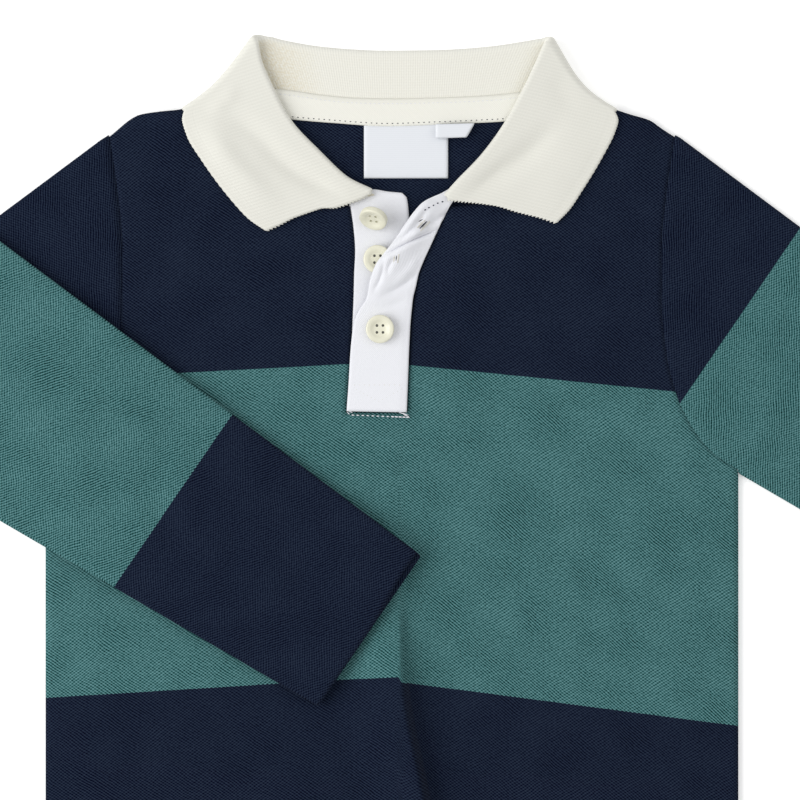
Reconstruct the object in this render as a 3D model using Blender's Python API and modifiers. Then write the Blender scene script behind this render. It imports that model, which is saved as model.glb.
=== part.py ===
"""Child's long-sleeved pique polo shirt, laid flat on its back with one sleeve folded across.

Units are metres, +Z is up, and the shirt lies on z = 0 with its hem towards -Y.  The origin
is on the underside of the back panel, on the body's centre line, half way down its length.
Sizes below are written in millimetres and turned to metres where a point is placed.
"""

import math
from collections import namedtuple

import bmesh
import bpy
from mathutils import Vector

MM = 0.001

# Walls and clearances
CLOTH = 1.0
COLLAR_WALL = 1.4
PLACKET_WALL = 1.4
SEAM_GAP = 0.3

# Body, laid flat
BODY_HALF_LENGTH = 180.0
SHOULDER_HALF = 112.8
SHOULDER_Y = 161.6
NECK_POINT_Y = 180.5
SHOULDER_CURVE = 1.35
NECK_CENTRE_X = 4.0
NECK_LEFT_X = -61.0
NECK_RIGHT_X = 69.2
FRONT_NECK_Y = 134.0
SLOT_BOTTOM_Y = 51.4

# Sleeves, as half of the shirt: the cuff's two corners, measured from the centre line
CUFF_UNDER = (298.4, -64.8)
CUFF_TOP = (338.4, -6.4)
SLEEVE_EDGE_RADIUS = 0.65
SLEEVE_LOFT = 1.6

# The sleeve on the -X side turns over an upright crease and lies back across the front
CREASE_X = -164.0
FOLD_AXIS_Z = 3.2
FOLD_NEUTRAL_RADIUS = 1.8
SLEEVE_PUFF = 2.2
SLEEVE_RIDE = 0.9

# Heights of the layers, to the middle of each wall
BACK_Z = 0.5
BACK_LEAF_Z = 0.7
LIFT_OVER_BACK_LEAF = 1.8
FRONT_ON_BACK = 1.3
FRONT_LOFT = 0.6
NECK_SIDE_RISE = 1.1
PLEAT_DROP_WIDTH = 3.6
PLEAT_RISE_WIDTH = 27.0

# Button: its profile from the middle of the sunk face, over the rim, to the flat underside
BUTTON_PROFILE = [
    (0.0, 1.5),
    (2.7, 1.5),
    (3.5, 2.1),
    (4.4, 2.4),
    (5.2, 2.2),
    (5.7, 1.5),
    (5.4, 0.6),
    (4.4, 0.0),
    (0.0, 0.0),
]
BUTTON_STEPS = 20
HOLE_RADIUS = 0.55
HOLE_SPACING = (2.4, 2.75)
HOLE_CUT_LENGTH = 8.0

ArmholePoint = namedtuple("ArmholePoint", "share x y")
ARMHOLE = [
    ArmholePoint(0.00, 138.4, 28.4),
    ArmholePoint(0.10, 129.0, 34.5),
    ArmholePoint(0.20, 120.5, 44.5),
    ArmholePoint(0.32, 113.5, 59.0),
    ArmholePoint(0.45, 109.4, 76.0),
    ArmholePoint(0.60, 107.7, 96.0),
    ArmholePoint(0.75, 107.7, 118.0),
    ArmholePoint(0.88, 109.6, 139.0),
    ArmholePoint(1.00, 112.8, 161.6),
]

# Edges of the placket slot, and below it the guide lines that run to the hem.  The right
# line is the foot of the pleat that starts under the cuff, and height is the pleat's height.
FrontLine = namedtuple("FrontLine", "y left right height")
FRONT_LINES = [
    FrontLine(-180.0, -12.0, 27.0, 4.2),
    FrontLine(-104.0, -15.0, 15.6, 4.6),
    FrontLine(-56.0, -17.0, 7.0, 3.8),
    FrontLine(-22.0, -18.0, 6.0, 0.9),
    FrontLine(4.0, -18.2, 6.0, 0.0),
    FrontLine(51.4, -18.2, 6.2, 0.0),
    FrontLine(62.0, -17.4, 6.6, 0.0),
    FrontLine(78.0, -16.2, 7.2, 0.0),
    FrontLine(88.0, -15.8, 7.9, 0.0),
    FrontLine(98.0, -15.4, 9.0, 0.0),
    FrontLine(106.6, -15.2, 10.7, 0.0),
    FrontLine(115.9, -14.8, 14.5, 0.0),
    FrontLine(124.5, -15.4, 18.6, 0.0),
    FrontLine(134.0, -16.8, 23.2, 0.0),
]

# Back neck seam, from the left neck point to the right one
NeckPoint = namedtuple("NeckPoint", "x y")
BACK_NECK = [
    NeckPoint(-61.0, 180.5),
    NeckPoint(-42.8, 179.2),
    NeckPoint(-27.0, 177.0),
    NeckPoint(-15.0, 175.9),
    NeckPoint(-2.0, 175.6),
    NeckPoint(19.5, 176.0),
    NeckPoint(40.8, 177.0),
    NeckPoint(53.0, 178.4),
    NeckPoint(69.2, 180.5),
]

# Collar sections along the rib band, from the left front end round the back to the right
# one.  turn is 90 where the leaf lies on the front, -90 where it lies under the back, and
# between them where the band rounds a side.  stand_z and edge_z are heights at the fold
# and at the leaf's outer edge, on the front.
CollarSection = namedtuple(
    "CollarSection", "turn seam_x seam_y fold_x fold_y edge_x edge_y seam_lift stand_z edge_z"
)
COLLAR = [
    CollarSection(90, -6.9, 138.2, -7.4, 140.6, -50.4, 124.0, 0.0, 2.9, 4.2),
    CollarSection(90, -16.0, 136.4, -17.0, 145.2, -56.8, 128.4, 0.0, 3.6, 4.4),
    CollarSection(90, -28.0, 137.0, -29.2, 156.4, -66.4, 139.0, 0.0, 4.5, 4.7),
    CollarSection(90, -48.0, 148.4, -40.0, 168.0, -75.2, 151.0, 0.0, 5.0, 5.4),
    CollarSection(90, -58.2, 165.0, -47.4, 181.6, -81.6, 161.4, 0.0, 5.2, 5.5),
    CollarSection(90, -60.6, 176.0, -51.0, 193.0, -83.4, 168.0, 0.0, 5.2, 5.5),
    CollarSection(90, -60.6, 180.0, -51.0, 200.0, -82.6, 170.9, 0.0, 5.2, 5.5),
    CollarSection(45, -60.6, 180.0, -51.0, 200.0, -82.6, 170.9, 0.0, 5.2, 5.5),
    CollarSection(0, -60.6, 180.0, -51.0, 200.0, -82.6, 170.9, 0.0, 5.2, 5.5),
    CollarSection(-45, -60.6, 180.0, -51.0, 200.0, -82.6, 170.9, 0.0, 5.2, 5.5),
    CollarSection(-90, -60.4, 180.5, -50.6, 200.4, -82.4, 170.9, 0.0, 5.2, 5.5),
    CollarSection(-90, -42.8, 179.2, -44.8, 200.4, -66.0, 163.0, 0.0, 5.2, 5.5),
    CollarSection(-90, -27.0, 177.0, -30.5, 197.9, -44.0, 156.6, 0.0, 5.2, 5.5),
    CollarSection(-90, -15.0, 175.9, -16.8, 196.6, -22.0, 154.4, 0.0, 5.2, 5.5),
    CollarSection(-90, -2.0, 175.6, -2.0, 196.0, 0.0, 153.6, 0.0, 5.2, 5.5),
    CollarSection(-90, 19.5, 176.0, 19.5, 196.3, 27.0, 154.4, 0.0, 5.2, 5.5),
    CollarSection(-90, 40.8, 177.0, 40.8, 197.9, 50.0, 157.0, 0.0, 5.2, 5.5),
    CollarSection(-90, 53.0, 178.4, 53.2, 199.8, 70.0, 162.6, 0.0, 5.2, 5.5),
    CollarSection(-90, 68.4, 180.5, 59.8, 200.8, 88.2, 170.1, 0.0, 5.2, 5.5),
    CollarSection(-45, 68.6, 180.0, 60.2, 200.4, 88.4, 170.1, 0.0, 5.2, 5.5),
    CollarSection(0, 68.6, 180.0, 60.2, 200.4, 88.4, 170.1, 0.0, 5.2, 5.5),
    CollarSection(45, 68.6, 180.0, 60.2, 200.4, 88.4, 170.1, 0.0, 5.2, 5.5),
    CollarSection(90, 68.6, 180.0, 60.2, 200.4, 88.4, 170.1, 0.0, 5.2, 5.5),
    CollarSection(90, 68.8, 176.0, 57.4, 191.6, 90.2, 168.0, 0.0, 5.2, 5.5),
    CollarSection(90, 66.4, 164.6, 51.8, 180.0, 88.8, 163.0, 0.0, 5.2, 5.5),
    CollarSection(90, 55.7, 147.6, 44.2, 166.2, 83.2, 152.0, 0.0, 5.1, 5.4),
    CollarSection(90, 38.9, 137.2, 35.4, 154.2, 76.4, 140.8, 0.0, 5.0, 4.8),
    CollarSection(90, 27.2, 135.6, 26.2, 144.6, 70.8, 132.4, 1.0, 5.0, 4.5),
    CollarSection(90, 20.8, 137.2, 20.4, 139.4, 65.8, 127.2, 2.5, 5.0, 4.4),
]
COLLAR_STEPS = 2
COLLAR_FOLD_RADIUS = 1.0
BACK_STAND_Z = 2.7
LEFT_SIDE_OUTWARD = (-0.70, 0.71)
RIGHT_SIDE_OUTWARD = (0.74, 0.67)
FRONT_EDGE_BOW = 2.4

# Upper placket with the buttonholes: its seam on the right, its free edge on the left, and
# the heights of its crest and free edge where it is twisted open
PlacketRow = namedtuple("PlacketRow", "seam_x seam_y free_x free_y seam_z crest_z free_z")
BUTTONHOLE_PLACKET = [
    PlacketRow(22.8, 135.4, 17.8, 137.2, 3.0, 3.9, 3.9),
    PlacketRow(22.7, 133.8, 15.6, 136.2, 3.0, 4.4, 4.3),
    PlacketRow(20.7, 130.0, 12.3, 133.4, 3.0, 6.2, 5.4),
    PlacketRow(18.7, 126.0, 8.4, 129.8, 3.0, 7.4, 6.6),
    PlacketRow(16.4, 121.0, 4.4, 124.6, 3.0, 8.0, 7.2),
    PlacketRow(14.1, 116.0, 0.2, 119.8, 3.0, 8.0, 7.2),
    PlacketRow(12.0, 111.4, -3.6, 115.0, 3.0, 7.7, 7.1),
    PlacketRow(10.2, 106.6, -6.9, 109.8, 3.0, 7.3, 6.9),
    PlacketRow(9.2, 102.0, -8.9, 103.4, 3.0, 6.5, 6.4),
    PlacketRow(8.4, 97.0, -10.4, 96.8, 3.0, 5.3, 5.3),
    PlacketRow(7.9, 92.6, -12.9, 92.6, 3.0, 4.5, 4.5),
    PlacketRow(7.4, 87.4, -14.9, 87.6, 3.0, 4.0, 4.0),
    PlacketRow(6.9, 78.0, -15.9, 78.0, 3.0, 3.9, 3.9),
    PlacketRow(6.3, 62.0, -17.0, 62.0, 3.0, 3.9, 3.9),
    PlacketRow(5.9, 51.9, -17.7, 51.9, 3.0, 3.9, 3.9),
]

# Lower placket with the buttons, sewn to the slot's left edge
ButtonRow = namedtuple("ButtonRow", "y right")
BUTTON_PLACKET = [
    ButtonRow(51.9, 2.4),
    ButtonRow(70.0, 3.0),
    ButtonRow(86.0, 4.2),
    ButtonRow(98.0, 5.2),
    ButtonRow(106.0, 6.6),
    ButtonRow(114.0, 7.8),
    ButtonRow(122.0, 7.6),
    ButtonRow(130.0, 6.6),
    ButtonRow(136.0, 5.6),
    ButtonRow(138.4, 3.2),
]
BUTTON_PLACKET_BOTTOM = 51.9
BUTTON_PLACKET_TOP = [(-16.4, 135.0), (-7.0, 137.0), (-5.6, 138.8), (3.0, 139.4), (5.6, 138.4)]
BUTTON_PLACKET_Z = 2.0
PLACKET_ON_PLACKET_Z = 3.9
CREST_SHARE = 0.55

ButtonPlace = namedtuple("ButtonPlace", "x y z tilt_x tilt_y")
BUTTONS = [
    ButtonPlace(-7.6, 128.8, 5.1, 20.0, -8.0),
    ButtonPlace(-5.8, 112.6, 3.1, 0.0, 0.0),
    ButtonPlace(-4.8, 84.8, 5.3, 2.5, 0.0),
]

# Neck tape over the back neck seam, the label below it and the folded size tab
TAPE_LEFT_X = -50.0
TAPE_RIGHT_X = 58.0
TAPE_LOWER = [
    NeckPoint(-50.0, 169.4),
    NeckPoint(-40.5, 168.4),
    NeckPoint(-23.4, 167.0),
    NeckPoint(-2.0, 165.7),
    NeckPoint(19.5, 166.4),
    NeckPoint(33.6, 167.0),
    NeckPoint(45.2, 167.6),
    NeckPoint(58.0, 168.6),
]
LABEL_LEFT_X = -11.2
LABEL_RIGHT_X = 22.4
LABEL_BOTTOM_Y = 145.0
TAB_LEFT_X = 17.8
TAB_RIGHT_X = 31.6
TAB_LOW_Y = 161.2
TAB_WIDTH = 5.2
TAB_LOOP_RADIUS = 0.8
TAB_TOP_END_X = 20.0

Finish = namedtuple("Finish", "name colour roughness")
NAVY_PIQUE = Finish("navy_pique_cotton", (0.011, 0.016, 0.042, 1.0), 0.9)
CREAM_RIB = Finish("cream_rib_knit", (0.84, 0.80, 0.70, 1.0), 0.9)
WHITE_TWILL = Finish("white_cotton_twill", (0.84, 0.84, 0.86, 1.0), 0.85)
TAPE_TWILL = Finish("neck_tape_twill", (0.82, 0.80, 0.74, 1.0), 0.85)
WOVEN_LABEL = Finish("woven_satin_label", (0.88, 0.88, 0.87, 1.0), 0.6)
RESIN = Finish("cream_resin", (0.80, 0.77, 0.66, 1.0), 0.3)


def lerp(a, b, share):
    return a + (b - a) * share


def unit(dx, dy):
    length = math.hypot(dx, dy)
    return dx / length, dy / length


def smooth(value):
    """Ease a value from 0 to 1, flat at both ends."""
    value = min(max(value, 0.0), 1.0)
    return value * value * (3.0 - 2.0 * value)


def read_table(rows, key, column, value):
    """Value of a column at a place along the key column, on a smooth curve between rows."""
    keys = [getattr(row, key) for row in rows]
    values = [getattr(row, column) for row in rows]
    if keys[0] > keys[-1]:
        keys.reverse()
        values.reverse()
    if value <= keys[0]:
        return values[0]
    if value >= keys[-1]:
        return values[-1]
    index = max(i for i in range(len(keys) - 1) if keys[i] <= value)
    slopes = [(values[i + 1] - values[i]) / (keys[i + 1] - keys[i]) for i in range(len(keys) - 1)]

    def tangent(i):
        if i == 0 or i == len(keys) - 1:
            return slopes[min(i, len(slopes) - 1)]
        if slopes[i - 1] * slopes[i] <= 0.0:
            return 0.0
        return 2.0 * slopes[i - 1] * slopes[i] / (slopes[i - 1] + slopes[i])

    span = keys[index + 1] - keys[index]
    t = (value - keys[index]) / span
    start = (1 + 2 * t) * (1 - t) ** 2 * values[index] + t * (1 - t) ** 2 * span * tangent(index)
    end = t * t * (3 - 2 * t) * values[index + 1] - t * t * (1 - t) * span * tangent(index + 1)
    return start + end


def half_width(y):
    """Half the body's width at a height: the armhole curve, then the straight side seam."""
    return read_table(ARMHOLE, "y", "x", y)


def shoulder_y(x):
    neck_x = NECK_LEFT_X if x < NECK_CENTRE_X else NECK_RIGHT_X
    share = (SHOULDER_HALF - abs(x)) / (SHOULDER_HALF - abs(neck_x))
    return SHOULDER_Y + (NECK_POINT_Y - SHOULDER_Y) * max(share, 0.0) ** SHOULDER_CURVE


def in_neck(x):
    return NECK_LEFT_X < x < NECK_RIGHT_X


def front_top_y(x):
    """Upper edge of the front: the shoulder lines, and the neck curve down to the placket."""
    if not in_neck(x):
        return shoulder_y(x)
    slot = FRONT_LINES[-1]
    if slot.left <= x <= slot.right:
        return FRONT_NECK_Y
    edge, neck = (slot.left, NECK_LEFT_X) if x < slot.left else (slot.right, NECK_RIGHT_X)
    share = (x - edge) / (neck - edge)
    return NECK_POINT_Y - (NECK_POINT_Y - FRONT_NECK_Y) * math.sqrt(1.0 - share * share)


def back_top_y(x):
    if not in_neck(x):
        return shoulder_y(x)
    return read_table(BACK_NECK, "x", "y", x)


def back_leaf_cover(x, y):
    """1 where the collar's back leaf lies under the panels, easing to 0 round it."""
    return smooth((y - 139.0) / 12.0) * (1.0 - smooth((abs(x - NECK_CENTRE_X) - 90.0) / 16.0))


def back_z(x, y):
    return BACK_Z + LIFT_OVER_BACK_LEAF * back_leaf_cover(x, y)


def pleat_z(x, y):
    """The soft pleat below the cuff: a slow rise from the left and a steep drop on the right."""
    height = read_table(FRONT_LINES, "y", "height", y)
    behind = read_table(FRONT_LINES, "y", "right", y) - x
    rise = smooth(behind / PLEAT_DROP_WIDTH)
    fall = 1.0 - smooth((behind - PLEAT_DROP_WIDTH) / PLEAT_RISE_WIDTH)
    return height * rise * fall


def front_z(x, y):
    """Middle of the front's wall, over the back panel and the collar's back leaf."""
    cover = back_leaf_cover(x, y)
    side = smooth((half_width(y) - abs(x)) / 25.0)
    shoulder = smooth((front_top_y(x) - y) / 15.0) if not in_neck(x) else 1.0
    neck = smooth((y - 125.0) / 35.0) * (1.0 - smooth((abs(x - NECK_CENTRE_X) - 66.0) / 18.0))
    rest = BACK_Z + FRONT_ON_BACK + LIFT_OVER_BACK_LEAF * cover
    return rest + FRONT_LOFT * side * shoulder * (1.0 - cover) + NECK_SIDE_RISE * neck + pleat_z(x, y)


def new_object(name, mesh, finish):
    material = bpy.data.materials.get(finish.name)
    if material is None:
        material = bpy.data.materials.new(finish.name)
        material.use_nodes = True
        shader = material.node_tree.nodes["Principled BSDF"]
        shader.inputs["Base Color"].default_value = finish.colour
        shader.inputs["Roughness"].default_value = finish.roughness
        shader.inputs["Metallic"].default_value = 0.0
        material.diffuse_color = finish.colour
    mesh.materials.append(material)
    piece = bpy.data.objects.new(name, mesh)
    bpy.data.collections["polo_shirt"].objects.link(piece)
    return piece


def cloth_piece(name, columns, rows, place, wall, finish, skip=None):
    """A wall of cloth: a grid of columns by rows, each point placed in millimetres.

    place(column, row) takes whole numbers from 0.  skip(column, row) leaves a face out.
    """
    grid = bmesh.new()
    bmesh.ops.create_grid(grid, x_segments=columns, y_segments=rows, size=0.5)
    steps = {}
    for vertex in grid.verts:
        column = round((vertex.co.x + 0.5) * columns)
        row = round((vertex.co.y + 0.5) * rows)
        steps[vertex] = (column, row)
        vertex.co = Vector(place(column, row)) * MM
    if skip:
        corners = [(face, min(steps[v] for v in face.verts)) for face in grid.faces]
        unwanted = [face for face, corner in corners if skip(*corner)]
        bmesh.ops.delete(grid, geom=unwanted, context="FACES")
    bmesh.ops.remove_doubles(grid, verts=grid.verts, dist=0.01 * MM)
    mesh = bpy.data.meshes.new(name)
    grid.to_mesh(mesh)
    grid.free()
    mesh.shade_smooth()
    piece = new_object(name, mesh, finish)
    thickness = piece.modifiers.new("wall", "SOLIDIFY")
    thickness.thickness = wall * MM
    thickness.offset = 0.0
    thickness.use_even_offset = True
    return piece


def spread(start, end, count):
    """Evenly spaced values from start to end, without the end."""
    return [lerp(start, end, i / count) for i in range(count)]


def neck_columns(edge, neck, count):
    """Columns from the placket to the neck point, closer together where the curve is steep."""
    return [lerp(edge, neck, math.sin(math.pi / 2 * i / count)) for i in range(count)]


def front_columns():
    """Places of the front's columns along its top edge, left to right, and the slot's two."""
    slot = FRONT_LINES[-1]
    left = neck_columns(slot.left, NECK_LEFT_X, 6) + spread(NECK_LEFT_X, -SHOULDER_HALF, 4)
    right = neck_columns(slot.right, NECK_RIGHT_X, 6) + spread(NECK_RIGHT_X, SHOULDER_HALF, 4)
    middle = [lerp(slot.left, slot.right, share) for share in (0.25, 0.5, 0.72, 0.84, 0.91, 0.96)]
    tops = [-SHOULDER_HALF] + left[::-1] + middle + right + [SHOULDER_HALF]
    return tops, tops.index(slot.left), tops.index(slot.right)


def front_x(top_x, y):
    """Follow a column down from its place at the top edge."""
    top = FRONT_LINES[-1]
    left = read_table(FRONT_LINES, "y", "left", y)
    right = read_table(FRONT_LINES, "y", "right", y)
    if top_x < top.left:
        share = (top_x - top.left) / (-SHOULDER_HALF - top.left)
        return lerp(left, -half_width(y), share)
    if top_x > top.right:
        share = (top_x - top.right) / (SHOULDER_HALF - top.right)
        return lerp(right, half_width(y), share)
    return lerp(left, right, (top_x - top.left) / (top.right - top.left))


def build_front():
    tops, slot_left, slot_right = front_columns()
    slot_share = (SLOT_BOTTOM_Y + BODY_HALF_LENGTH) / (FRONT_NECK_Y + BODY_HALF_LENGTH)
    lower = [0.0, 0.1, 0.19, 0.26, 0.32, 0.37, 0.42, 0.47, 0.51, 0.56, 0.61, 0.64, 0.68]
    shares = lower + spread(slot_share, 1.0, 8) + [1.0]

    def place(column, row):
        top_x = tops[column]
        y = lerp(-BODY_HALF_LENGTH, front_top_y(top_x), shares[row])
        if in_neck(top_x) and row == len(shares) - 1:
            y -= SEAM_GAP
        x = front_x(top_x, y)
        return x, y, front_z(x, y)

    def in_slot(column, row):
        return slot_left <= column < slot_right and row >= len(lower)

    cloth_piece("front", len(tops) - 1, len(shares) - 1, place, CLOTH, NAVY_PIQUE, in_slot)


def build_back():
    half = spread(0.0, NECK_RIGHT_X, 6) + spread(NECK_RIGHT_X, SHOULDER_HALF, 4) + [SHOULDER_HALF]
    left = spread(0.0, NECK_LEFT_X, 6) + spread(NECK_LEFT_X, -SHOULDER_HALF, 4) + [-SHOULDER_HALF]
    tops = left[:0:-1] + half
    shares = [0.0, 0.2, 0.4, 0.55, 0.61, 0.64, 0.68, 0.73, 0.79, 0.85, 0.885, 0.905, 0.925, 0.95, 1.0]

    def place(column, row):
        top_x = tops[column]
        top_y = back_top_y(top_x) - (SEAM_GAP if in_neck(top_x) else 0.0)
        y = lerp(-BODY_HALF_LENGTH, top_y, shares[row])
        x = top_x * half_width(y) / SHOULDER_HALF
        return x, y, back_z(x, y)

    cloth_piece("back", len(tops) - 1, len(shares) - 1, place, CLOTH, NAVY_PIQUE)


def sleeve_line(share):
    """Ends of the sleeve's line at a share of its width: on the armhole and on the cuff."""
    share = min(max(share, 0.0), 1.0)
    armhole = (
        read_table(ARMHOLE, "share", "x", share) + SEAM_GAP + CLOTH / 2,
        read_table(ARMHOLE, "share", "y", share) + SEAM_GAP * (1.0 - share),
    )
    cuff = (lerp(CUFF_UNDER[0], CUFF_TOP[0], share), lerp(CUFF_UNDER[1], CUFF_TOP[1], share))
    return armhole, cuff


def sleeve_ring(step, layer_steps, turn_steps):
    """Share of the width, side push and layer height for a step round the flattened tube.

    The ring runs along the lower layer, round the top edge, and back along the upper one.
    """
    half = layer_steps + turn_steps
    lap = step % half
    if lap <= layer_steps:
        share, turned = lap / layer_steps, 0.0
    else:
        share, turned = 1.0, (lap - layer_steps) / turn_steps * math.pi
    push = SLEEVE_EDGE_RADIUS * math.sin(turned)
    upper = (1.0 - math.cos(turned)) / 2
    if step % (2 * half) >= half:
        return 1.0 - share, -push, 1.0 - upper
    return share, push, upper


def cuff_direction():
    return unit(CUFF_TOP[0] - CUFF_UNDER[0], CUFF_TOP[1] - CUFF_UNDER[1])


def build_sleeve_right():
    layer_steps, turn_steps, rows = 8, 3, 9

    def place(column, row):
        share, push, upper = sleeve_ring(column, layer_steps, turn_steps)
        armhole, cuff = sleeve_line(share)
        along = row / rows
        across = cuff_direction()
        x = lerp(armhole[0], cuff[0], along) + across[0] * push
        y = lerp(armhole[1], cuff[1], along) + across[1] * push
        loft = SLEEVE_LOFT * math.sin(math.pi * share) * smooth(along * 4) * (1.0 - along / 2)
        return x, y, BACK_Z + upper * (2 * SLEEVE_EDGE_RADIUS + loft)

    columns = 2 * (layer_steps + turn_steps)
    cloth_piece("sleeve_right", columns, rows, place, CLOTH, NAVY_PIQUE)


def turn_over(x, z):
    """Carry a point of the flat left sleeve round the crease when it lies beyond it."""
    axis_x = CREASE_X + (FOLD_AXIS_Z - BACK_Z) + CLOTH / 2
    radius = FOLD_AXIS_Z - z
    beyond = axis_x - x
    if beyond <= 0.0:
        return x, z
    angle = min(beyond / FOLD_NEUTRAL_RADIUS, math.pi)
    after = beyond - FOLD_NEUTRAL_RADIUS * angle
    return axis_x - radius * math.sin(angle) + after, FOLD_AXIS_Z - radius * math.cos(angle)


def build_sleeve_left():
    layer_steps, turn_steps = 8, 3
    before, around, after = 3, 6, 11
    axis_x = CREASE_X + (FOLD_AXIS_Z - BACK_Z) + CLOTH / 2
    end_x = axis_x - math.pi * FOLD_NEUTRAL_RADIUS

    def flat_x(armhole_x, cuff_x, row):
        if row <= before:
            return lerp(armhole_x, axis_x, row / before)
        if row <= before + around:
            return lerp(axis_x, end_x, (row - before) / around)
        return lerp(end_x, cuff_x, (row - before - around) / after)

    def place(column, row):
        share, push, upper = sleeve_ring(column, layer_steps, turn_steps)
        armhole, cuff = sleeve_line(share)
        across = cuff_direction()
        x = flat_x(-armhole[0], -cuff[0], row)
        along = (x + armhole[0]) / (armhole[0] - cuff[0])
        y = lerp(armhole[1], cuff[1], along) + across[1] * push
        x -= across[0] * push
        z = BACK_Z + upper * 2 * SLEEVE_EDGE_RADIUS
        folded_x, folded_z = turn_over(x, z)
        past = smooth((end_x - x) / 40.0)
        folded_z += SLEEVE_RIDE * smooth((end_x - x - 10.0) / 50.0)
        folded_z += SLEEVE_PUFF * past * (1.0 - upper) * math.sin(math.pi * share) ** 0.8
        return folded_x, y, folded_z

    columns = 2 * (layer_steps + turn_steps)
    rows = before + around + after
    cloth_piece("sleeve_left", columns, rows, place, CLOTH, NAVY_PIQUE)


def collar_section(index):
    """A section at a fractional index along the table, on straight lines between rows."""
    low = min(int(index), len(COLLAR) - 2)
    share = index - low
    return CollarSection(*(lerp(a, b, share) for a, b in zip(COLLAR[low], COLLAR[low + 1])))


def collar_point(section, part, share):
    """Point of the band's middle surface: on the stand, round the fold, or on the leaf.

    Each point has a height on the front and one on the back.  The section's turn picks the
    front one, the back one, or a place on the half circle that joins them at a side.
    """
    seam = (section.seam_x, section.seam_y)
    edge = (section.edge_x, section.edge_y)
    up = unit(section.fold_x - seam[0], section.fold_y - seam[1])
    back = unit(section.fold_x - edge[0], section.fold_y - edge[1])
    over = unit(up[0] + back[0], up[1] + back[1])
    reach = COLLAR_FOLD_RADIUS + COLLAR_WALL / 2
    fold = (section.fold_x - reach * over[0], section.fold_y - reach * over[1])
    if part == "stand":
        x, y = lerp(seam[0], fold[0], share), lerp(seam[1], fold[1], share)
        high = lerp(front_z(*seam) + section.seam_lift, section.stand_z, share)
        low = lerp(back_z(*seam), BACK_STAND_Z, share)
    elif part == "fold":
        sideways = COLLAR_FOLD_RADIUS * math.sin(math.pi * share)
        upwards = COLLAR_FOLD_RADIUS * (1.0 - math.cos(math.pi * share))
        x, y = fold[0] + over[0] * sideways, fold[1] + over[1] * sideways
        high, low = section.stand_z + upwards, BACK_STAND_Z - upwards
    else:
        x, y = lerp(fold[0], edge[0], share), lerp(fold[1], edge[1], share)
        high = lerp(section.stand_z + 2 * COLLAR_FOLD_RADIUS, section.edge_z, share)
        low = BACK_LEAF_Z
    middle, radius = (high + low) / 2, (high - low) / 2
    turn = math.radians(section.turn)
    outward = LEFT_SIDE_OUTWARD if section.fold_x < NECK_CENTRE_X else RIGHT_SIDE_OUTWARD
    x += outward[0] * radius * math.cos(turn)
    y += outward[1] * radius * math.cos(turn)
    return x, y, middle + radius * math.sin(turn)


def build_collar():
    """The rib band, stepped from its seam up the stand, round the fold and down the leaf."""
    stand = [("stand", share) for share in (0.03, 0.4, 0.8)]
    fold = [("fold", i / 4) for i in range(5)]
    leaf = [("leaf", share) for share in (0.12, 0.3, 0.5, 0.75, 1.0)]
    steps = stand + fold + leaf
    columns = (len(COLLAR) - 1) * COLLAR_STEPS

    def place(column, row):
        index = column / COLLAR_STEPS
        section = collar_section(index)
        part, share = steps[row]
        x, y, z = collar_point(section, part, share)
        if part == "leaf":
            y += FRONT_EDGE_BOW * math.sin(math.pi * share) * max(0.0, 1.0 - index / 1.5)
        return x, y, z

    cloth_piece("collar", columns, len(steps) - 1, place, COLLAR_WALL, CREAM_RIB)


def build_placket_buttonhole_side():
    sides = [0.0, 0.08, 0.15, 0.3, 0.45, 0.6, 0.75, 0.88, 1.0]
    rows = (len(BUTTONHOLE_PLACKET) - 1) * 2

    def place(column, row):
        low = min(row // 2, len(BUTTONHOLE_PLACKET) - 2)
        share = row / 2 - low
        pairs = zip(BUTTONHOLE_PLACKET[low], BUTTONHOLE_PLACKET[low + 1])
        line = PlacketRow(*(lerp(a, b, share) for a, b in pairs))
        side = sides[column]
        x, y = lerp(line.seam_x, line.free_x, side), lerp(line.seam_y, line.free_y, side)
        z = lerp(line.seam_z, PLACKET_ON_PLACKET_Z, smooth(side / sides[2]))
        z += (line.crest_z - PLACKET_ON_PLACKET_Z) * smooth(side / CREST_SHARE)
        z += (line.free_z - line.crest_z) * smooth((side - CREST_SHARE) / (1.0 - CREST_SHARE))
        return x, y, z

    columns = len(sides) - 1
    cloth_piece("placket_buttonhole_side", columns, rows, place, PLACKET_WALL, WHITE_TWILL)


def build_placket_button_side():
    across, rows = 8, 14
    top_points = [NeckPoint(x, y) for x, y in BUTTON_PLACKET_TOP]

    def place(column, row):
        share = row / rows
        left_y = lerp(BUTTON_PLACKET_BOTTOM, top_points[0].y, share)
        right_y = lerp(BUTTON_PLACKET_BOTTOM, top_points[-1].y, share)
        left = read_table(FRONT_LINES, "y", "left", left_y) + SEAM_GAP
        right = read_table(BUTTON_PLACKET, "y", "right", right_y)
        x = lerp(left, right, column / across)
        top = read_table(top_points, "x", "y", x)
        y = lerp(BUTTON_PLACKET_BOTTOM, top, share)
        return x, y, BUTTON_PLACKET_Z

    cloth_piece("placket_button_side", across, rows, place, PLACKET_WALL, WHITE_TWILL)


def on_back(x, y, layers):
    """Middle of a wall that lies on the back panel, over a number of other such walls."""
    return back_z(x, y) + (CLOTH + SEAM_GAP) * (layers + 1)


def build_neck_tape():
    columns, rows = 20, 3

    def place(column, row):
        x = lerp(TAPE_LEFT_X, TAPE_RIGHT_X, column / columns)
        top = back_top_y(x) - 2 * SEAM_GAP
        y = lerp(read_table(TAPE_LOWER, "x", "y", x), top, row / rows)
        return x, y, on_back(x, y, 0)

    cloth_piece("neck_tape", columns, rows, place, CLOTH, TAPE_TWILL)


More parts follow.
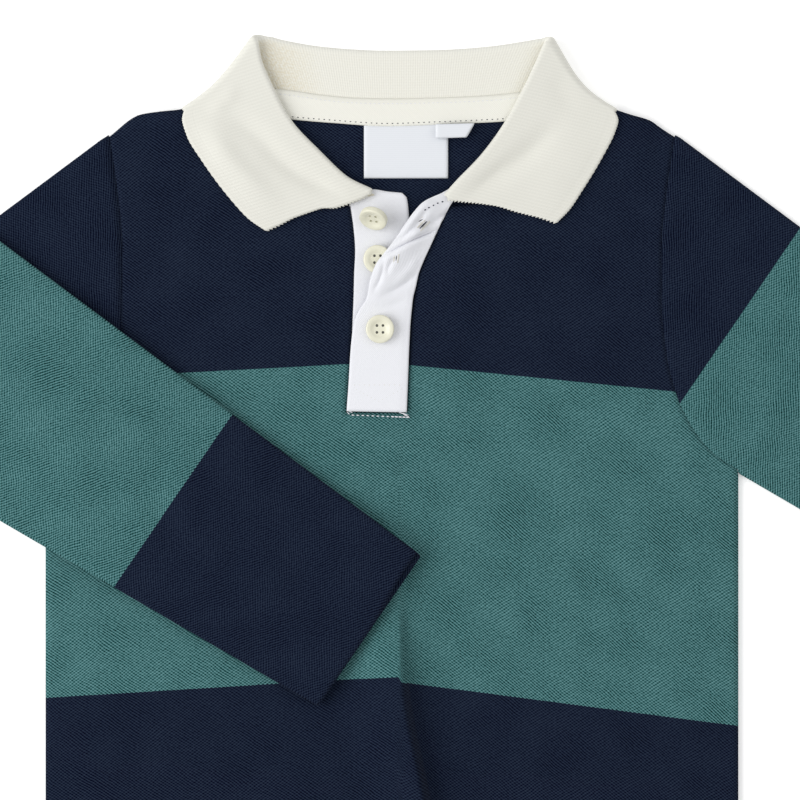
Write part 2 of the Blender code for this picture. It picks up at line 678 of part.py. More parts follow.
def build_neck_label():
    columns, rows = 6, 8

    def place(column, row):
        x = lerp(LABEL_LEFT_X, LABEL_RIGHT_X, column / columns)
        top = read_table(TAPE_LOWER, "x", "y", x) - SEAM_GAP
        y = lerp(LABEL_BOTTOM_Y, top, row / rows)
        return x, y, on_back(x, y, 0)

    cloth_piece("neck_label", columns, rows, place, CLOTH, WOVEN_LABEL)


def build_size_tab():
    """A short strip folded back on itself, its loop to the right."""
    flat, loop = 5, 6
    loop_x = TAB_RIGHT_X - TAB_LOOP_RADIUS - CLOTH / 2

    def place(column, row):
        if column <= flat:
            x, turned = lerp(TAB_LEFT_X, loop_x, column / flat), 0.0
        elif column <= flat + loop:
            turned = (column - flat) / loop * math.pi
            x = loop_x + TAB_LOOP_RADIUS * math.sin(turned)
        else:
            x, turned = lerp(loop_x, TAB_TOP_END_X, (column - flat - loop) / flat), math.pi
        y = TAB_LOW_Y + TAB_WIDTH * row / 2
        bottom = on_back(TAB_LEFT_X, TAB_LOW_Y, 1)
        return x, y, bottom + TAB_LOOP_RADIUS * (1.0 - math.cos(turned))

    cloth_piece("size_tab", 2 * flat + loop, 2, place, CLOTH, WOVEN_LABEL)


def button_cutters():
    """Four pins where the button's thread holes go, as one cutter."""
    pins = bmesh.new()
    for side_x in (-0.5, 0.5):
        for side_y in (-0.5, 0.5):
            made = bmesh.ops.create_cone(
                pins,
                cap_ends=True,
                segments=8,
                radius1=HOLE_RADIUS * MM,
                radius2=HOLE_RADIUS * MM,
                depth=HOLE_CUT_LENGTH * MM,
            )
            move = Vector((side_x * HOLE_SPACING[0], side_y * HOLE_SPACING[1], 0.0)) * MM
            bmesh.ops.translate(pins, verts=made["verts"], vec=move)
    mesh = bpy.data.meshes.new("button_holes")
    pins.to_mesh(mesh)
    pins.free()
    cutter = bpy.data.objects.new("button_holes", mesh)
    cutter.hide_render = True
    cutter.display_type = "WIRE"
    bpy.data.collections["cutters"].objects.link(cutter)
    return cutter


def build_buttons():
    """Four-hole buttons: a sunk middle, a raised round rim and a flat underside."""
    cutter = button_cutters()
    for number, spot in enumerate(BUTTONS, start=1):
        outline = bmesh.new()
        points = [outline.verts.new((x * MM, 0.0, z * MM)) for x, z in BUTTON_PROFILE]
        for first, second in zip(points, points[1:]):
            outline.edges.new((first, second))
        mesh = bpy.data.meshes.new(f"button_{number}")
        outline.to_mesh(mesh)
        outline.free()
        button = new_object(f"button_{number}", mesh, RESIN)
        button.location = Vector((spot.x, spot.y, spot.z)) * MM
        button.rotation_euler = (math.radians(spot.tilt_x), math.radians(spot.tilt_y), 0.0)
        turned = button.modifiers.new("turned", "SCREW")
        turned.steps = BUTTON_STEPS
        turned.render_steps = BUTTON_STEPS
        turned.use_merge_vertices = True
        turned.merge_threshold = 0.01 * MM
        turned.use_smooth_shade = True
        holes = cutter if number == 1 else cutter.copy()
        if number > 1:
            bpy.data.collections["cutters"].objects.link(holes)
        holes.parent = button
        cut = button.modifiers.new("holes", "BOOLEAN")
        cut.operation = "DIFFERENCE"
        cut.object = holes


def main():
    for existing in list(bpy.data.objects):
        bpy.data.objects.remove(existing)
    for name in ("polo_shirt", "cutters"):
        collection = bpy.data.collections.new(name)
        bpy.context.scene.collection.children.link(collection)
    build_back()
    build_front()
    build_sleeve_left()
    build_sleeve_right()
    build_placket_button_side()
    build_placket_buttonhole_side()
    build_collar()
    build_neck_tape()
    build_neck_label()
    build_size_tab()
    build_buttons()


main()
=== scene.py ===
"""Dresses the child's pique polo shirt: knit cloth, rib collar, plackets, sewing and buttons.

Sizes in the code are millimetres and turn to metres where a point is placed.  The shirt lies
on z = 0 with its hem towards -Y, in the same frame as the CAD model.
"""

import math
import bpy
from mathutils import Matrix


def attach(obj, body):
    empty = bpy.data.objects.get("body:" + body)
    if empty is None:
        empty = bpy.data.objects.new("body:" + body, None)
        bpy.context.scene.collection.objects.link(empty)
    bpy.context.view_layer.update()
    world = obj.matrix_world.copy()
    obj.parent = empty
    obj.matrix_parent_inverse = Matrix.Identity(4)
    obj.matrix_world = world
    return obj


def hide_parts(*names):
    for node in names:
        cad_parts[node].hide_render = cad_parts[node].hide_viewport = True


bl_info = {
    "name": "Polo Shirt Dress",
    "version": (1, 0, 0),
    "blender": (4, 5, 0),
    "location": "View3D > Sidebar > Polo Shirt",
    "description": "Cloth, collar, plackets, sewing and buttons of a child's pique polo shirt",
    "category": "Object",
}

from bisect import bisect_right
from collections import namedtuple

import bmesh
import bpy
from bpy.props import FloatProperty, FloatVectorProperty, PointerProperty
from mathutils import Matrix, Vector

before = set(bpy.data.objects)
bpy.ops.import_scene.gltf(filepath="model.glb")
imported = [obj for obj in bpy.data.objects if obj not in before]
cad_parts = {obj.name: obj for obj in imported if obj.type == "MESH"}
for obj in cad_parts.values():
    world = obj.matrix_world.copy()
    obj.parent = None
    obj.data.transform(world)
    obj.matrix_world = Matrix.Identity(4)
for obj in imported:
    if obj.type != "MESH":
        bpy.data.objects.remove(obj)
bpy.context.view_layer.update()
MM = 0.001

# The body and the sleeves, laid flat
BODY_HALF_LENGTH = 180.0
SHOULDER_HALF = 112.8
NECK_POINT_Y = 180.5
NECK_CENTRE_X = 4.0
NECK_LEFT_X = -61.0
NECK_RIGHT_X = 69.2
FRONT_NECK_Y = 134.0
SLOT_BOTTOM_Y = 51.4
SLOT_TOP_LEFT = -16.8
SLOT_TOP_RIGHT = 23.2
HEM_TURN_UP = 18.0
HEM_LAYER = 0.35
SEAM_GAP = 0.3
CLOTH = 1.0
COLLAR_WALL = 1.4
PLACKET_WALL = 1.3
OPEN_EDGE_SHARE = 0.45
CUFF_UNDER = (298.4, -64.8)
CUFF_TOP = (338.4, -6.4)
SLEEVE_EDGE_RADIUS = 0.65
SLEEVE_LOFT = 1.6
SLEEVE_SEAM = 0.05
# The left sleeve turns over at its crease and lies on the front, its cuff corner lifted
CREASE_X = -164.0
FOLD_AXIS_Z = 3.2
FOLD_NEUTRAL_RADIUS = 1.8
SLEEVE_PUFF = 2.2
SLEEVE_RIDE = 0.9
CUFF_LIFT = 3.6
CUFF_RECESS = 1.8

# Heights of the layers, to the middle of each wall
BACK_Z = 0.5
BACK_LEAF_Z = 0.7
LIFT_OVER_BACK_LEAF = 1.8
FRONT_ON_BACK = 1.3
FRONT_LOFT = 0.6
NECK_SIDE_RISE = 1.1
FOLD_AXIS_X = CREASE_X + (FOLD_AXIS_Z - BACK_Z) + CLOTH / 2

# The pleat falls steeply to its foot on the right and rises slowly from the left
PLEAT_DROP_WIDTH = 4.2
PLEAT_RISE_WIDTH = 27.0
PLEAT_FULLNESS = 2.1
PLEAT_FOOT_SHIFT = -0.4

# Stripes: the teal band is knitted in, and its height is the cloth's second coordinate
STRIPE_HEIGHT = 125.0
CUFF_TO_STRIPE = 94.0
BACK_STRIPE_LOW = -54.0
# The band's edges on the front, left and right of the pleat: x, y and slope
BAND_TOP = ((-17.2, 70.8, 0.053), (6.8, 70.4, -0.10))
BAND_LOW = ((2.4, -53.9, 0.0615), (3.1, -56.2, -0.13))
BAND_TURN_WIDTH = 24.0
BAND_STEP_X = 2.4
BAND_STEP_WIDTH = 1.6

# Millimetres of rib from the collar's outer edge to the foot of the stand's own rows
STAND_START = 62.0


def lerp(a, b, share):
    return a + (b - a) * share


def smooth(value):
    """Ease a value from 0 to 1, flat at both ends."""
    value = min(max(value, 0.0), 1.0)
    return value * value * (3.0 - 2.0 * value)


def unit(dx, dy):
    length = math.hypot(dx, dy)
    return dx / length, dy / length


class Curve:
    """A smooth curve through a table's points that never overshoots them."""

    def __init__(self, points):
        points = sorted(points)
        self.keys = [key for key, _ in points]
        self.values = [value for _, value in points]
        slopes = [(b[1] - a[1]) / (b[0] - a[0]) for a, b in zip(points, points[1:])]
        self.tangents = [slopes[0]]
        for before, after in zip(slopes, slopes[1:]):
            steep = 2.0 * before * after / (before + after) if before * after > 0.0 else 0.0
            self.tangents.append(steep)
        self.tangents.append(slopes[-1])

    def at(self, key):
        if key <= self.keys[0]:
            return self.values[0]
        if key >= self.keys[-1]:
            return self.values[-1]
        i = bisect_right(self.keys, key) - 1
        span = self.keys[i + 1] - self.keys[i]
        t = (key - self.keys[i]) / span
        (low, high), (leave, arrive) = self.values[i : i + 2], self.tangents[i : i + 2]
        start = (1 + 2 * t) * (1 - t) ** 2 * low + t * (1 - t) ** 2 * span * leave
        end = t * t * (3 - 2 * t) * high - t * t * (1 - t) * span * arrive
        return start + end


ACROSS_CUFF = unit(CUFF_TOP[0] - CUFF_UNDER[0], CUFF_TOP[1] - CUFF_UNDER[1])
# Armhole: share of its height, x and y
ARMHOLE = [
    (0, 138.4, 28.4), (0.1, 129, 34.5), (0.2, 120.5, 44.5), (0.32, 113.5, 59), (0.45, 109.4, 76),
    (0.6, 107.7, 96), (0.75, 107.7, 118), (0.88, 109.6, 139), (1, 112.8, 161.6),
]
ARMHOLE_X = Curve([(share, x) for share, x, y in ARMHOLE])
ARMHOLE_Y = Curve([(share, y) for share, x, y in ARMHOLE])
HALF_WIDTH = Curve([(y, x) for share, x, y in ARMHOLE])

# Shoulder lines from the neck to the armhole: how far out, and y
SHOULDER_LEFT = Curve([
    (61, 180.5), (76, 175.4), (84.8, 172.4), (92.8, 171.6), (100.8, 170.4), (105, 168.2),
    (109, 164.9), (112.8, 161.6),
])
SHOULDER_RIGHT = Curve([
    (69.2, 180.5), (80, 175.8), (91.2, 171.7), (95.2, 170.4), (103.2, 168), (107.2, 165.2),
    (112.8, 161.6),
])

# Placket slot, and below it the pleat: y, left line, right line, pleat height
FRONT_LINES = [
    (-180, -12, 27, 4.2), (-104, -15, 15.6, 4.6), (-56, -17, 7, 3.8), (-22, -18, 6, 0.9),
    (4, -18.2, 6, 0), (51.4, -18.2, 6.2, 0), (62, -17.4, 6.6, 0), (78, -16.2, 7.2, 0),
    (88, -15.8, 7.9, 0), (98, -15.4, 9, 0), (106.6, -15.2, 10.7, 0), (115.9, -14.8, 14.5, 0),
    (124.5, -15.4, 18.6, 0), (134, -16.8, 23.2, 0),
]
SLOT_LEFT = Curve([(row[0], row[1]) for row in FRONT_LINES])
SLOT_RIGHT = Curve([(row[0], row[2]) for row in FRONT_LINES])
PLEAT_HEIGHT = Curve([(row[0], row[3] * PLEAT_FULLNESS) for row in FRONT_LINES])
BACK_NECK = Curve([
    (-61, 180.5), (-42.8, 179.2), (-27, 177), (-15, 175.9), (-2, 175.6), (19.5, 176), (40.8, 177),
    (53, 178.4), (69.2, 180.5),
])

# Soft troughs (depth below 0) and ridges, each on a bowed line from one point to another
Crease = namedtuple("Crease", "x0 y0 x1 y1 bow width depth")
# Past each end, as shares of its length, a crease runs out and eases to nothing
CREASE_RUN_OUT = 0.25
CREASE_EASE = 0.6


def creases(*rows):
    return [Crease(*row) for row in rows]


FRONT_CREASES = creases(
    (5, 50, 7, -6, 1.5, 4, -0.55), (-5.5, 44, -6.5, 12, -1, 3, -0.45),
    (11, 64, 12.5, 36, 0.5, 3.2, -0.7), (44, 60, 50, 30, 3, 9, -0.4), (72, 34, 80, 2, -3, 8, -0.45),
    (84, 6, 80, -22, 2, 7, -0.35), (40, -2, 52, -22, 2, 8, -0.35), (90, -34, 84, -62, 3, 10, -0.4),
    (-96, 150, -78, 132, 3, 6, -0.6), (-100, 118, -72, 98, -4, 9, -0.45),
    (88, 140, 104, 118, 3, 7, -0.55), (60, 112, 88, 96, 4, 10, -0.4), (30, 96, 46, 80, -3, 8, 0.35),
    (-60, 92, -40, 74, 4, 9, 0.35), (-70, -72, -40, -94, 4, 8, -0.45),
    (56, -84, 92, -100, -5, 9, -0.45), (-100, -110, -64, -134, 5, 8, -0.5),
    (70, -122, 112, -150, -4, 9, -0.5), (-20, -118, -34, -160, 4, 7, 0.45),
    (-3, 4.6, 8, -4.6, 0, 2.2, 1.6), (3.6, 5.6, 13.4, -3, 0, 2.6, -0.8),
)
BACK_CREASES = creases(
    (-80, 120, -30, 96, 5, 10, 0.1), (30, 60, 84, 24, -6, 12, 0.12),
    (-90, -20, -40, -70, 6, 11, 0.1), (20, -90, 90, -120, 5, 12, 0.12),
)
# The folded sleeve, in plan as it lies, and the one that lies straight
LEFT_SLEEVE_CREASES = creases(
    (-95, 24, -80, -8, 3, 6, -0.75), (-66, 8, -62, -10, -2, 4.5, -0.5),
    (-100, 60, -74, 30, -4, 7, -0.6), (-88, 50, -92, 26, 2, 5, -0.5),
    (-40, -2, -22, -26, 3, 7, -0.45), (-58, -32, -34, -52, 2, 5, -0.4),
    (-42, -53.5, -29, -61.5, 0.6, 1.3, -1.3), (-134, 74, -118, 40, 5, 8, -0.55),
)
RIGHT_SLEEVE_CREASES = creases(
    (128, 60, 160, 84, 4, 8, -0.7), (150, 30, 196, 50, -5, 10, -0.6),
    (206, 44, 250, 8, 5, 9, -0.55), (240, -20, 280, -28, 3, 7, -0.45),
    (180, 96, 220, 70, 3, 7, 0.4),
)


def relief(rows, x, y):
    """Sum of the soft creases at a point."""
    total = 0.0
    for crease in rows:
        dx, dy = crease.x1 - crease.x0, crease.y1 - crease.y0
        length = math.hypot(dx, dy)
        along = ((x - crease.x0) * dx + (y - crease.y0) * dy) / (length * length)
        if not -CREASE_RUN_OUT < along < 1.0 + CREASE_RUN_OUT:
            continue
        bow = crease.bow * math.sin(math.pi * min(max(along, 0.0), 1.0))
        side = ((x - crease.x0) * dy - (y - crease.y0) * dx) / length - bow
        ends = smooth((along + CREASE_RUN_OUT) / CREASE_EASE)
        ends *= smooth((1.0 + CREASE_RUN_OUT - along) / CREASE_EASE)
        total += crease.depth * math.exp(-((side / crease.width) ** 2)) * ends
    return total


def shoulder_y(x):
    line = SHOULDER_LEFT if x < NECK_CENTRE_X else SHOULDER_RIGHT
    return line.at(abs(x))


def in_neck(x):
    return NECK_LEFT_X < x < NECK_RIGHT_X


def front_top_y(x):
    """Upper edge of the front: the shoulder lines, and the neck curve down to the placket."""
    if not in_neck(x):
        return shoulder_y(x)
    if SLOT_TOP_LEFT <= x <= SLOT_TOP_RIGHT:
        return FRONT_NECK_Y
    on_left = x < SLOT_TOP_LEFT
    edge, neck = (SLOT_TOP_LEFT, NECK_LEFT_X) if on_left else (SLOT_TOP_RIGHT, NECK_RIGHT_X)
    share = (x - edge) / (neck - edge)
    return NECK_POINT_Y - (NECK_POINT_Y - FRONT_NECK_Y) * math.sqrt(1.0 - share * share)


def back_top_y(x):
    return BACK_NECK.at(x) if in_neck(x) else shoulder_y(x)


def back_leaf_cover(x, y):
    """1 where the collar's back leaf lies under the panels, easing to 0 round it."""
    return smooth((y - 139.0) / 12.0) * (1.0 - smooth((abs(x - NECK_CENTRE_X) - 90.0) / 16.0))


def back_z(x, y):
    return BACK_Z + LIFT_OVER_BACK_LEAF * back_leaf_cover(x, y)


def pleat_foot(y):
    return SLOT_RIGHT.at(y) - PLEAT_FOOT_SHIFT


def pleat_z(x, y):
    """The soft pleat below the cuff: a slow rise from the left and a steep drop on the right."""
    behind = pleat_foot(y) - x
    rise = smooth(behind / PLEAT_DROP_WIDTH)
    fall = 1.0 - smooth((behind - PLEAT_DROP_WIDTH) / PLEAT_RISE_WIDTH)
    return PLEAT_HEIGHT.at(y) * rise * fall


def front_z(x, y):
    """Middle of the front's wall, over the back panel and the collar's back leaf."""
    cover = back_leaf_cover(x, y)
    side = smooth((HALF_WIDTH.at(y) - abs(x)) / 25.0)
    shoulder = smooth((front_top_y(x) - y) / 15.0) if not in_neck(x) else 1.0
    neck = smooth((y - 125.0) / 35.0) * (1.0 - smooth((abs(x - NECK_CENTRE_X) - 66.0) / 18.0))
    height = BACK_Z + FRONT_ON_BACK + LIFT_OVER_BACK_LEAF * cover
    height += FRONT_LOFT * side * shoulder * (1.0 - cover) + NECK_SIDE_RISE * neck
    return height + pleat_z(x, y)


def hem_step(y):
    """The turned-up hem is two layers thick, so the cloth over it stands a little higher."""
    return HEM_LAYER * smooth((-BODY_HALF_LENGTH + HEM_TURN_UP - y) / 0.8)


def on_line(line, x):
    return line[1] + line[2] * (x - line[0])


def stripe_coordinate(x, y):
    """Height on the cloth above the teal band's lower line, which steps at the pleat."""
    turned = smooth((x - BAND_TOP[0][0]) / BAND_TURN_WIDTH)
    top = lerp(on_line(BAND_TOP[0], x), on_line(BAND_TOP[1], x), turned)
    beyond = smooth((x - BAND_STEP_X) / BAND_STEP_WIDTH)
    low = lerp(on_line(BAND_LOW[0], x), on_line(BAND_LOW[1], x), beyond)
    return STRIPE_HEIGHT * (y - low) / (top - low)


def spread(start, end, count):
    """Evenly spaced values from start to end, without the end."""
    return [lerp(start, end, i / count) for i in range(count)]


def closing_spread(start, end, count):
    """Values from start that close up towards the end, where the neck curve steepens."""
    return [lerp(start, end, math.sin(math.pi / 2 * i / count)) for i in range(count)]


def mesh_from(shape, name, material=None):
    mesh = bpy.data.meshes.new(name)
    shape.to_mesh(mesh)
    shape.free()
    if material:
        mesh.materials.append(material)
    return mesh


def add_object(name, data):
    added = bpy.data.objects.new(name, data)
    bpy.context.scene.collection.objects.link(added)
    return added


def join_to_frame(piece, replaced=None):
    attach(piece, "root")
    if replaced:
        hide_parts(replaced)
    return piece


def cloth_piece(name, columns, rows, place, wall, kind, skip=None, even=True):
    """A wall of cloth from a grid.  place(column, row) gives x, y, z and the cloth's own u, v.

    The cloth's coordinates are millimetres on the flat cut piece.  The wall thins towards
    its open edges, which gives them a soft round section.
    """
    grid = bmesh.new()
    bmesh.ops.create_grid(grid, x_segments=columns, y_segments=rows, size=0.5)
    steps, flat = {}, {}
    for vertex in grid.verts:
        step = (round((vertex.co.x + 0.5) * columns), round((vertex.co.y + 0.5) * rows))
        x, y, z, u, v = place(*step)
        steps[vertex], flat[vertex] = step, (u, v)
        vertex.co = Vector((x, y, z)) * MM
    layer = grid.loops.layers.uv.new("cloth")
    for face in grid.faces:
        for loop in face.loops:
            loop[layer].uv = flat[loop.vert]
    if skip:
        corners = [(face, min(steps[v] for v in face.verts)) for face in grid.faces]
        bmesh.ops.delete(grid, geom=[face for face, at in corners if skip(*at)], context="FACES")
    bmesh.ops.remove_doubles(grid, verts=grid.verts, dist=0.01 * MM)
    grid.verts.index_update()
    inner = [vertex.index for vertex in grid.verts if not vertex.is_boundary]
    mesh = mesh_from(grid, name, material_of(kind))
    mesh.shade_smooth()
    piece = add_object(name, mesh)
    piece.vertex_groups.new(name="full_wall").add(inner, 1.0, "REPLACE")
    thickness = piece.modifiers.new("wall", "SOLIDIFY")
    thickness.thickness = wall * MM
    thickness.offset = 0.0
    thickness.use_even_offset = even
    thickness.vertex_group = "full_wall"
    thickness.thickness_vertex_group = OPEN_EDGE_SHARE
    return piece


# Materials

TWILL_PITCH = 0.75
TAPE_TWILL_PITCH = 0.9
SATIN_RIB_PITCH = 0.8
KNIT_ROW_PITCH = 1.1


def linear(hex_colour):
    """An sRGB hex colour as linear red, green and blue."""
    parts = [int(hex_colour[i : i + 2], 16) / 255.0 for i in (1, 3, 5)]
    return tuple(c / 12.92 if c <= 0.04045 else ((c + 0.055) / 1.055) ** 2.4 for c in parts)


def output_of(source):
    return source.outputs[0] if isinstance(source, bpy.types.Node) else source


def node(tree, kind, settings=(), links=()):
    """Add a shader node.  Settings are its options or, by socket, values; links feed sockets."""
    added = tree.nodes.new("ShaderNode" + kind)
    for key, value in dict(settings).items():
        if isinstance(key, int) or key in added.inputs:
            added.inputs[key].default_value = value
        else:
            setattr(added, key, value)
    for key, source in dict(links).items():
        tree.links.new(output_of(source), added.inputs[key])
    return added


def spans(from_low, from_high, to_low=0.0, to_high=1.0):
    """Settings that carry one range of values to another."""
    return {1: from_low, 2: from_high, 3: to_low, 4: to_high}


def start_material(name, values):
    """A new material with its shader's own values: the material, its tree and its shader."""
    material = bpy.data.materials.new(name)
    material.use_nodes = True
    shader = material.node_tree.nodes["Principled BSDF"]
    for socket, value in values.items():
        shader.inputs[socket].default_value = value
    return material, material.node_tree, shader


def cloth_coordinates(tree):
    """The piece's flat coordinates in millimetres, whole and split."""
    cloth = node(tree, "UVMap", {"uv_map": "cloth"})
    return cloth, node(tree, "SeparateXYZ", links={0: cloth})


def waves(tree, place, pitch):
    """Even ridges along a coordinate: 1 on each crest and -1 half way to the next."""
    turn = node(tree, "Math", {"operation": "MULTIPLY", 1: 2 * math.pi / pitch}, {0: place})
    return node(tree, "Math", {"operation": "COSINE"}, {0: turn})


def shaded(tree, colour, light):
    """A plain colour made lighter or darker by a pattern."""
    plain = node(tree, "RGB")
    plain.outputs[0].default_value = (*colour, 1.0)
    return node(tree, "VectorMath", {"operation": "SCALE"}, {0: plain, 3: light})


def finish_surface(tree, shader, colour, height=None, strength=0.0, depth=0.0):
    """Give the shader its colour and, from a height pattern, a relief of so many millimetres."""
    tree.links.new(output_of(colour), shader.inputs["Base Color"])
    if height:
        bump = node(tree, "Bump", {"Strength": strength, "Distance": depth * MM}, {"Height": height})
        tree.links.new(bump.outputs[0], shader.inputs["Normal"])


def pique_knit(colours, sizes):
    """Combed cotton pique, knitted in two yarns: rows of small raised cells, with painted shade in the
    pits and a painted sheen highlight on the cells.
    """
    values = {"Roughness": 0.95, "Specular IOR Level": 0.05, "Sheen Weight": 0.02}
    material, tree, shader = start_material("cotton_pique_knit", values)
    cloth, own = cloth_coordinates(tree)
    fuzz = node(tree, "TexNoise", {"Scale": 0.9, "Detail": 2.0, "Roughness": 0.6}, {0: cloth})
    yarn = node(tree, "MapRange", spans(0.35, 0.65, 0.35, 0.65), {0: fuzz})
    drift = node(tree, "TexNoise", {"Scale": 0.05, "Detail": 3.0}, {0: cloth})
    # Knit never lies quite square, so the lattice wanders a little
    wander = node(tree, "TexNoise", {"Scale": 0.09, "Detail": 2.0}, {0: cloth})
    shift = {"operation": "MULTIPLY_ADD", 1: (1.6, 1.6, 0.0)}
    moved = node(tree, "VectorMath", shift, {0: wander.outputs["Color"], 2: cloth})
    axes = node(tree, "SeparateXYZ", links={0: moved})
    phases = []
    for axis, half_step in enumerate((sizes.pique_width / MM, sizes.pique_height / MM)):
        turn = {"operation": "MULTIPLY", 1: math.pi / half_step}
        phases.append(node(tree, "Math", turn, {0: axes.outputs[axis]}))
    diagonals = []
    for operation in ("ADD", "SUBTRACT"):
        phase = node(tree, "Math", {"operation": operation}, {0: phases[0], 1: phases[1]})
        diagonals.append(node(tree, "Math", {"operation": "COSINE"}, {0: phase}))
    # One diagonal of the cells shows more, and by how much changes over the cloth
    lead = node(tree, "MapRange", spans(0.36, 0.64, 0.2, 0.58), {0: drift})
    cells = node(tree, "Mix", {"data_type": "FLOAT"}, {0: lead, 2: diagonals[0], 3: diagonals[1]})
    uneven = node(tree, "Math", {"operation": "MULTIPLY_ADD", 1: 1.6}, {0: yarn, 2: cells})
    slow = node(tree, "Math", {"operation": "MULTIPLY_ADD", 1: 0.7}, {0: drift, 2: uneven})
    light = node(tree, "MapRange", spans(-0.01, 2.39, -0.6, 1.56), {0: slow})
    # The band changes on whole knitted cells, so its edge is finely stepped
    by_cells = {"operation": "MULTIPLY_ADD", 1: 0.15}
    stepped = node(tree, "Math", by_cells, {0: cells, 2: own.outputs[1]})
    within = {"operation": "COMPARE", 1: STRIPE_HEIGHT / 2, 2: STRIPE_HEIGHT / 2}
    band = node(tree, "Math", within, {0: stepped})
    tones = []
    # Each yarn runs from its pit colour, painted shade in the knit's pits, to its cell colour, which
    # carries a painted sheen highlight
    for pit_shade, tops in ((colours.navy_pit_shade, colours.navy), (colours.teal_pit_shade, colours.teal)):
        yarns = {"data_type": "RGBA", "clamp_factor": False, 6: (*pit_shade, 1.0), 7: (*tops, 1.0)}
        tones.append(node(tree, "Mix", yarns, {0: light}).outputs[2])
    dyed = node(tree, "Mix", {"data_type": "RGBA"}, {0: band, 6: tones[0], 7: tones[1]})
    finish_surface(tree, shader, dyed.outputs[2], uneven, 0.35, 0.2)
    return material


def rib_knit(colours, sizes):
    """Flat-knit cotton rib: fine raised wales that run from the neck seam to the outer edge."""
    values = {"Roughness": 0.9, "Specular IOR Level": 0.2, "Sheen Weight": 0.08}
    material, tree, shader = start_material("cotton_rib_knit", values)
    cloth, axes = cloth_coordinates(tree)
    from_edge = axes.outputs[1]
    yarn = node(tree, "TexNoise", {"Scale": 1.3, "Detail": 2.0, "Roughness": 0.6}, {0: cloth})
    wale = waves(tree, axes, sizes.rib_pitch / MM)
    # Rows of stitches cross the wales, fainter and a little further apart
    row = waves(tree, from_edge, KNIT_ROW_PITCH)
    knit = node(tree, "Math", {"operation": "MULTIPLY_ADD", 1: 0.3}, {0: row, 2: wale})
    uneven = node(tree, "Math", {"operation": "ADD"}, {0: yarn, 1: knit})
    light = node(tree, "MapRange", spans(-0.8, 1.8, 0.93, 1.03), {0: uneven})
    # The tubular start of the band leaves one thin line that runs along its edge
    line = node(tree, "Math", {"operation": "COMPARE", 1: 4.6, 2: 0.22}, {0: from_edge})
    shadow = node(tree, "Math", {"operation": "MULTIPLY_ADD", 1: -0.04}, {0: line, 2: light})
    # The leaf's wales are drawn flatter and the stand's deeper, and the leaf is painted darker than the
    # stand as painted shade
    turn = (STAND_START - 8.0, STAND_START)
    face = node(tree, "MapRange", spans(*turn, 0.86, 0.935), {0: from_edge})
    show = node(tree, "MapRange", spans(*turn, 0.62, 1.3), {0: from_edge})
    fade = {"data_type": "FLOAT", "clamp_factor": False, 2: 1.0}
    drawn = node(tree, "Mix", fade, {0: show, 3: shadow})
    leaf_shaded_tone = node(tree, "Math", {"operation": "MULTIPLY"}, {0: drawn, 1: face})
    # By the two ends of the back stand the rib is painted darker and warmer: painted shade under the
    # collar's folds, on the speckled inner face of the knit that shows there
    stand = node(tree, "MapRange", spans(STAND_START - 2.0, STAND_START + 2.0), {0: from_edge})
    off_middle = node(tree, "Math", {"operation": "SUBTRACT", 1: NECK_CENTRE_X + 6.0}, {0: axes})
    reach = node(tree, "Math", {"operation": "ABSOLUTE"}, {0: off_middle})
    shade_towards_ends = node(tree, "MapRange", spans(36.0, 60.0, 0.04, 0.5), {0: reach})
    speckle = node(tree, "MapRange", spans(0.38, 0.62, 1.7, 0.3), {0: yarn})
    speckled = node(tree, "Math", {"operation": "MULTIPLY"}, {0: shade_towards_ends, 1: speckle})
    warm_shade = node(tree, "Math", {"operation": "MULTIPLY"}, {0: speckled, 1: stand})
    inner = {"data_type": "RGBA", 7: (*colours.inside, 1.0)}
    shown = node(tree, "Mix", inner, {0: warm_shade, 6: shaded(tree, colours.cream, leaf_shaded_tone)})
    finish_surface(tree, shader, shown.outputs[2], uneven, 0.16, 0.2)
    return material


def fine_twill(name, colour, pitch, depth):
    """Woven cotton twill: close diagonal lines, drawn a little coarser than real to show."""
    material, tree, shader = start_material(name, {"Roughness": 0.85, "Specular IOR Level": 0.2})
    cloth, axes = cloth_coordinates(tree)
    slope = node(tree, "Math", {"operation": "ADD"}, {0: axes, 1: axes.outputs[1]})
    line = waves(tree, slope, pitch)
    yarn = node(tree, "TexNoise", {"Scale": 1.6, "Detail": 3.0}, {0: cloth})
    uneven = node(tree, "Math", {"operation": "MULTIPLY_ADD", 1: 2.0}, {0: yarn, 2: line})
    light = node(tree, "MapRange", spans(-0.4, 2.2, 1.0 - depth, 1.0), {0: uneven})
    finish_surface(tree, shader, shaded(tree, colour, light), uneven, 0.3, 0.12)
    return material


def woven_satin(colours):
    """Polyester satin of the label: smooth, with fine crosswise ribs and a soft gloss."""
    values = {"Roughness": 0.5, "Specular IOR Level": 0.35}
    material, tree, shader = start_material("woven_satin_label", values)
    ribs = waves(tree, cloth_coordinates(tree)[1].outputs[1], SATIN_RIB_PITCH)
    light = node(tree, "MapRange", spans(-1.0, 1.0, 0.97, 1.0), {0: ribs})
    finish_surface(tree, shader, shaded(tree, colours.label, light), ribs, 0.2, 0.05)
    return material


def clouded(name, colour, values, scale, detail, tones):
    """A solid material whose colour varies a little from place to place."""
    material, tree, shader = start_material(name, values)
    place = node(tree, "TexCoord").outputs["Object"]
    cloud = node(tree, "TexNoise", {"Scale": scale, "Detail": detail}, {0: place})
    light = node(tree, "MapRange", spans(0.3, 0.7, *tones), {0: cloud})
    finish_surface(tree, shader, shaded(tree, colour, light))
    return material


def moulded_resin(colours):
    """Cast polyester resin of the buttons: glossy, slightly clouded cream."""
    values = {"Roughness": 0.28, "Specular IOR Level": 0.5, "IOR": 1.55}
    return clouded("cast_polyester_resin", colours.resin, values, 260.0, 3.0, (0.95, 1.02))


def sewing_thread(name, colour):
    """Spun polyester thread: short lengths with a soft gloss and fine uneven twist."""
    values = {"Roughness": 0.6, "Specular IOR Level": 0.3}
    return clouded(name, colour, values, 2500.0, 2.0, (0.82, 1.05))


MATERIALS = {}


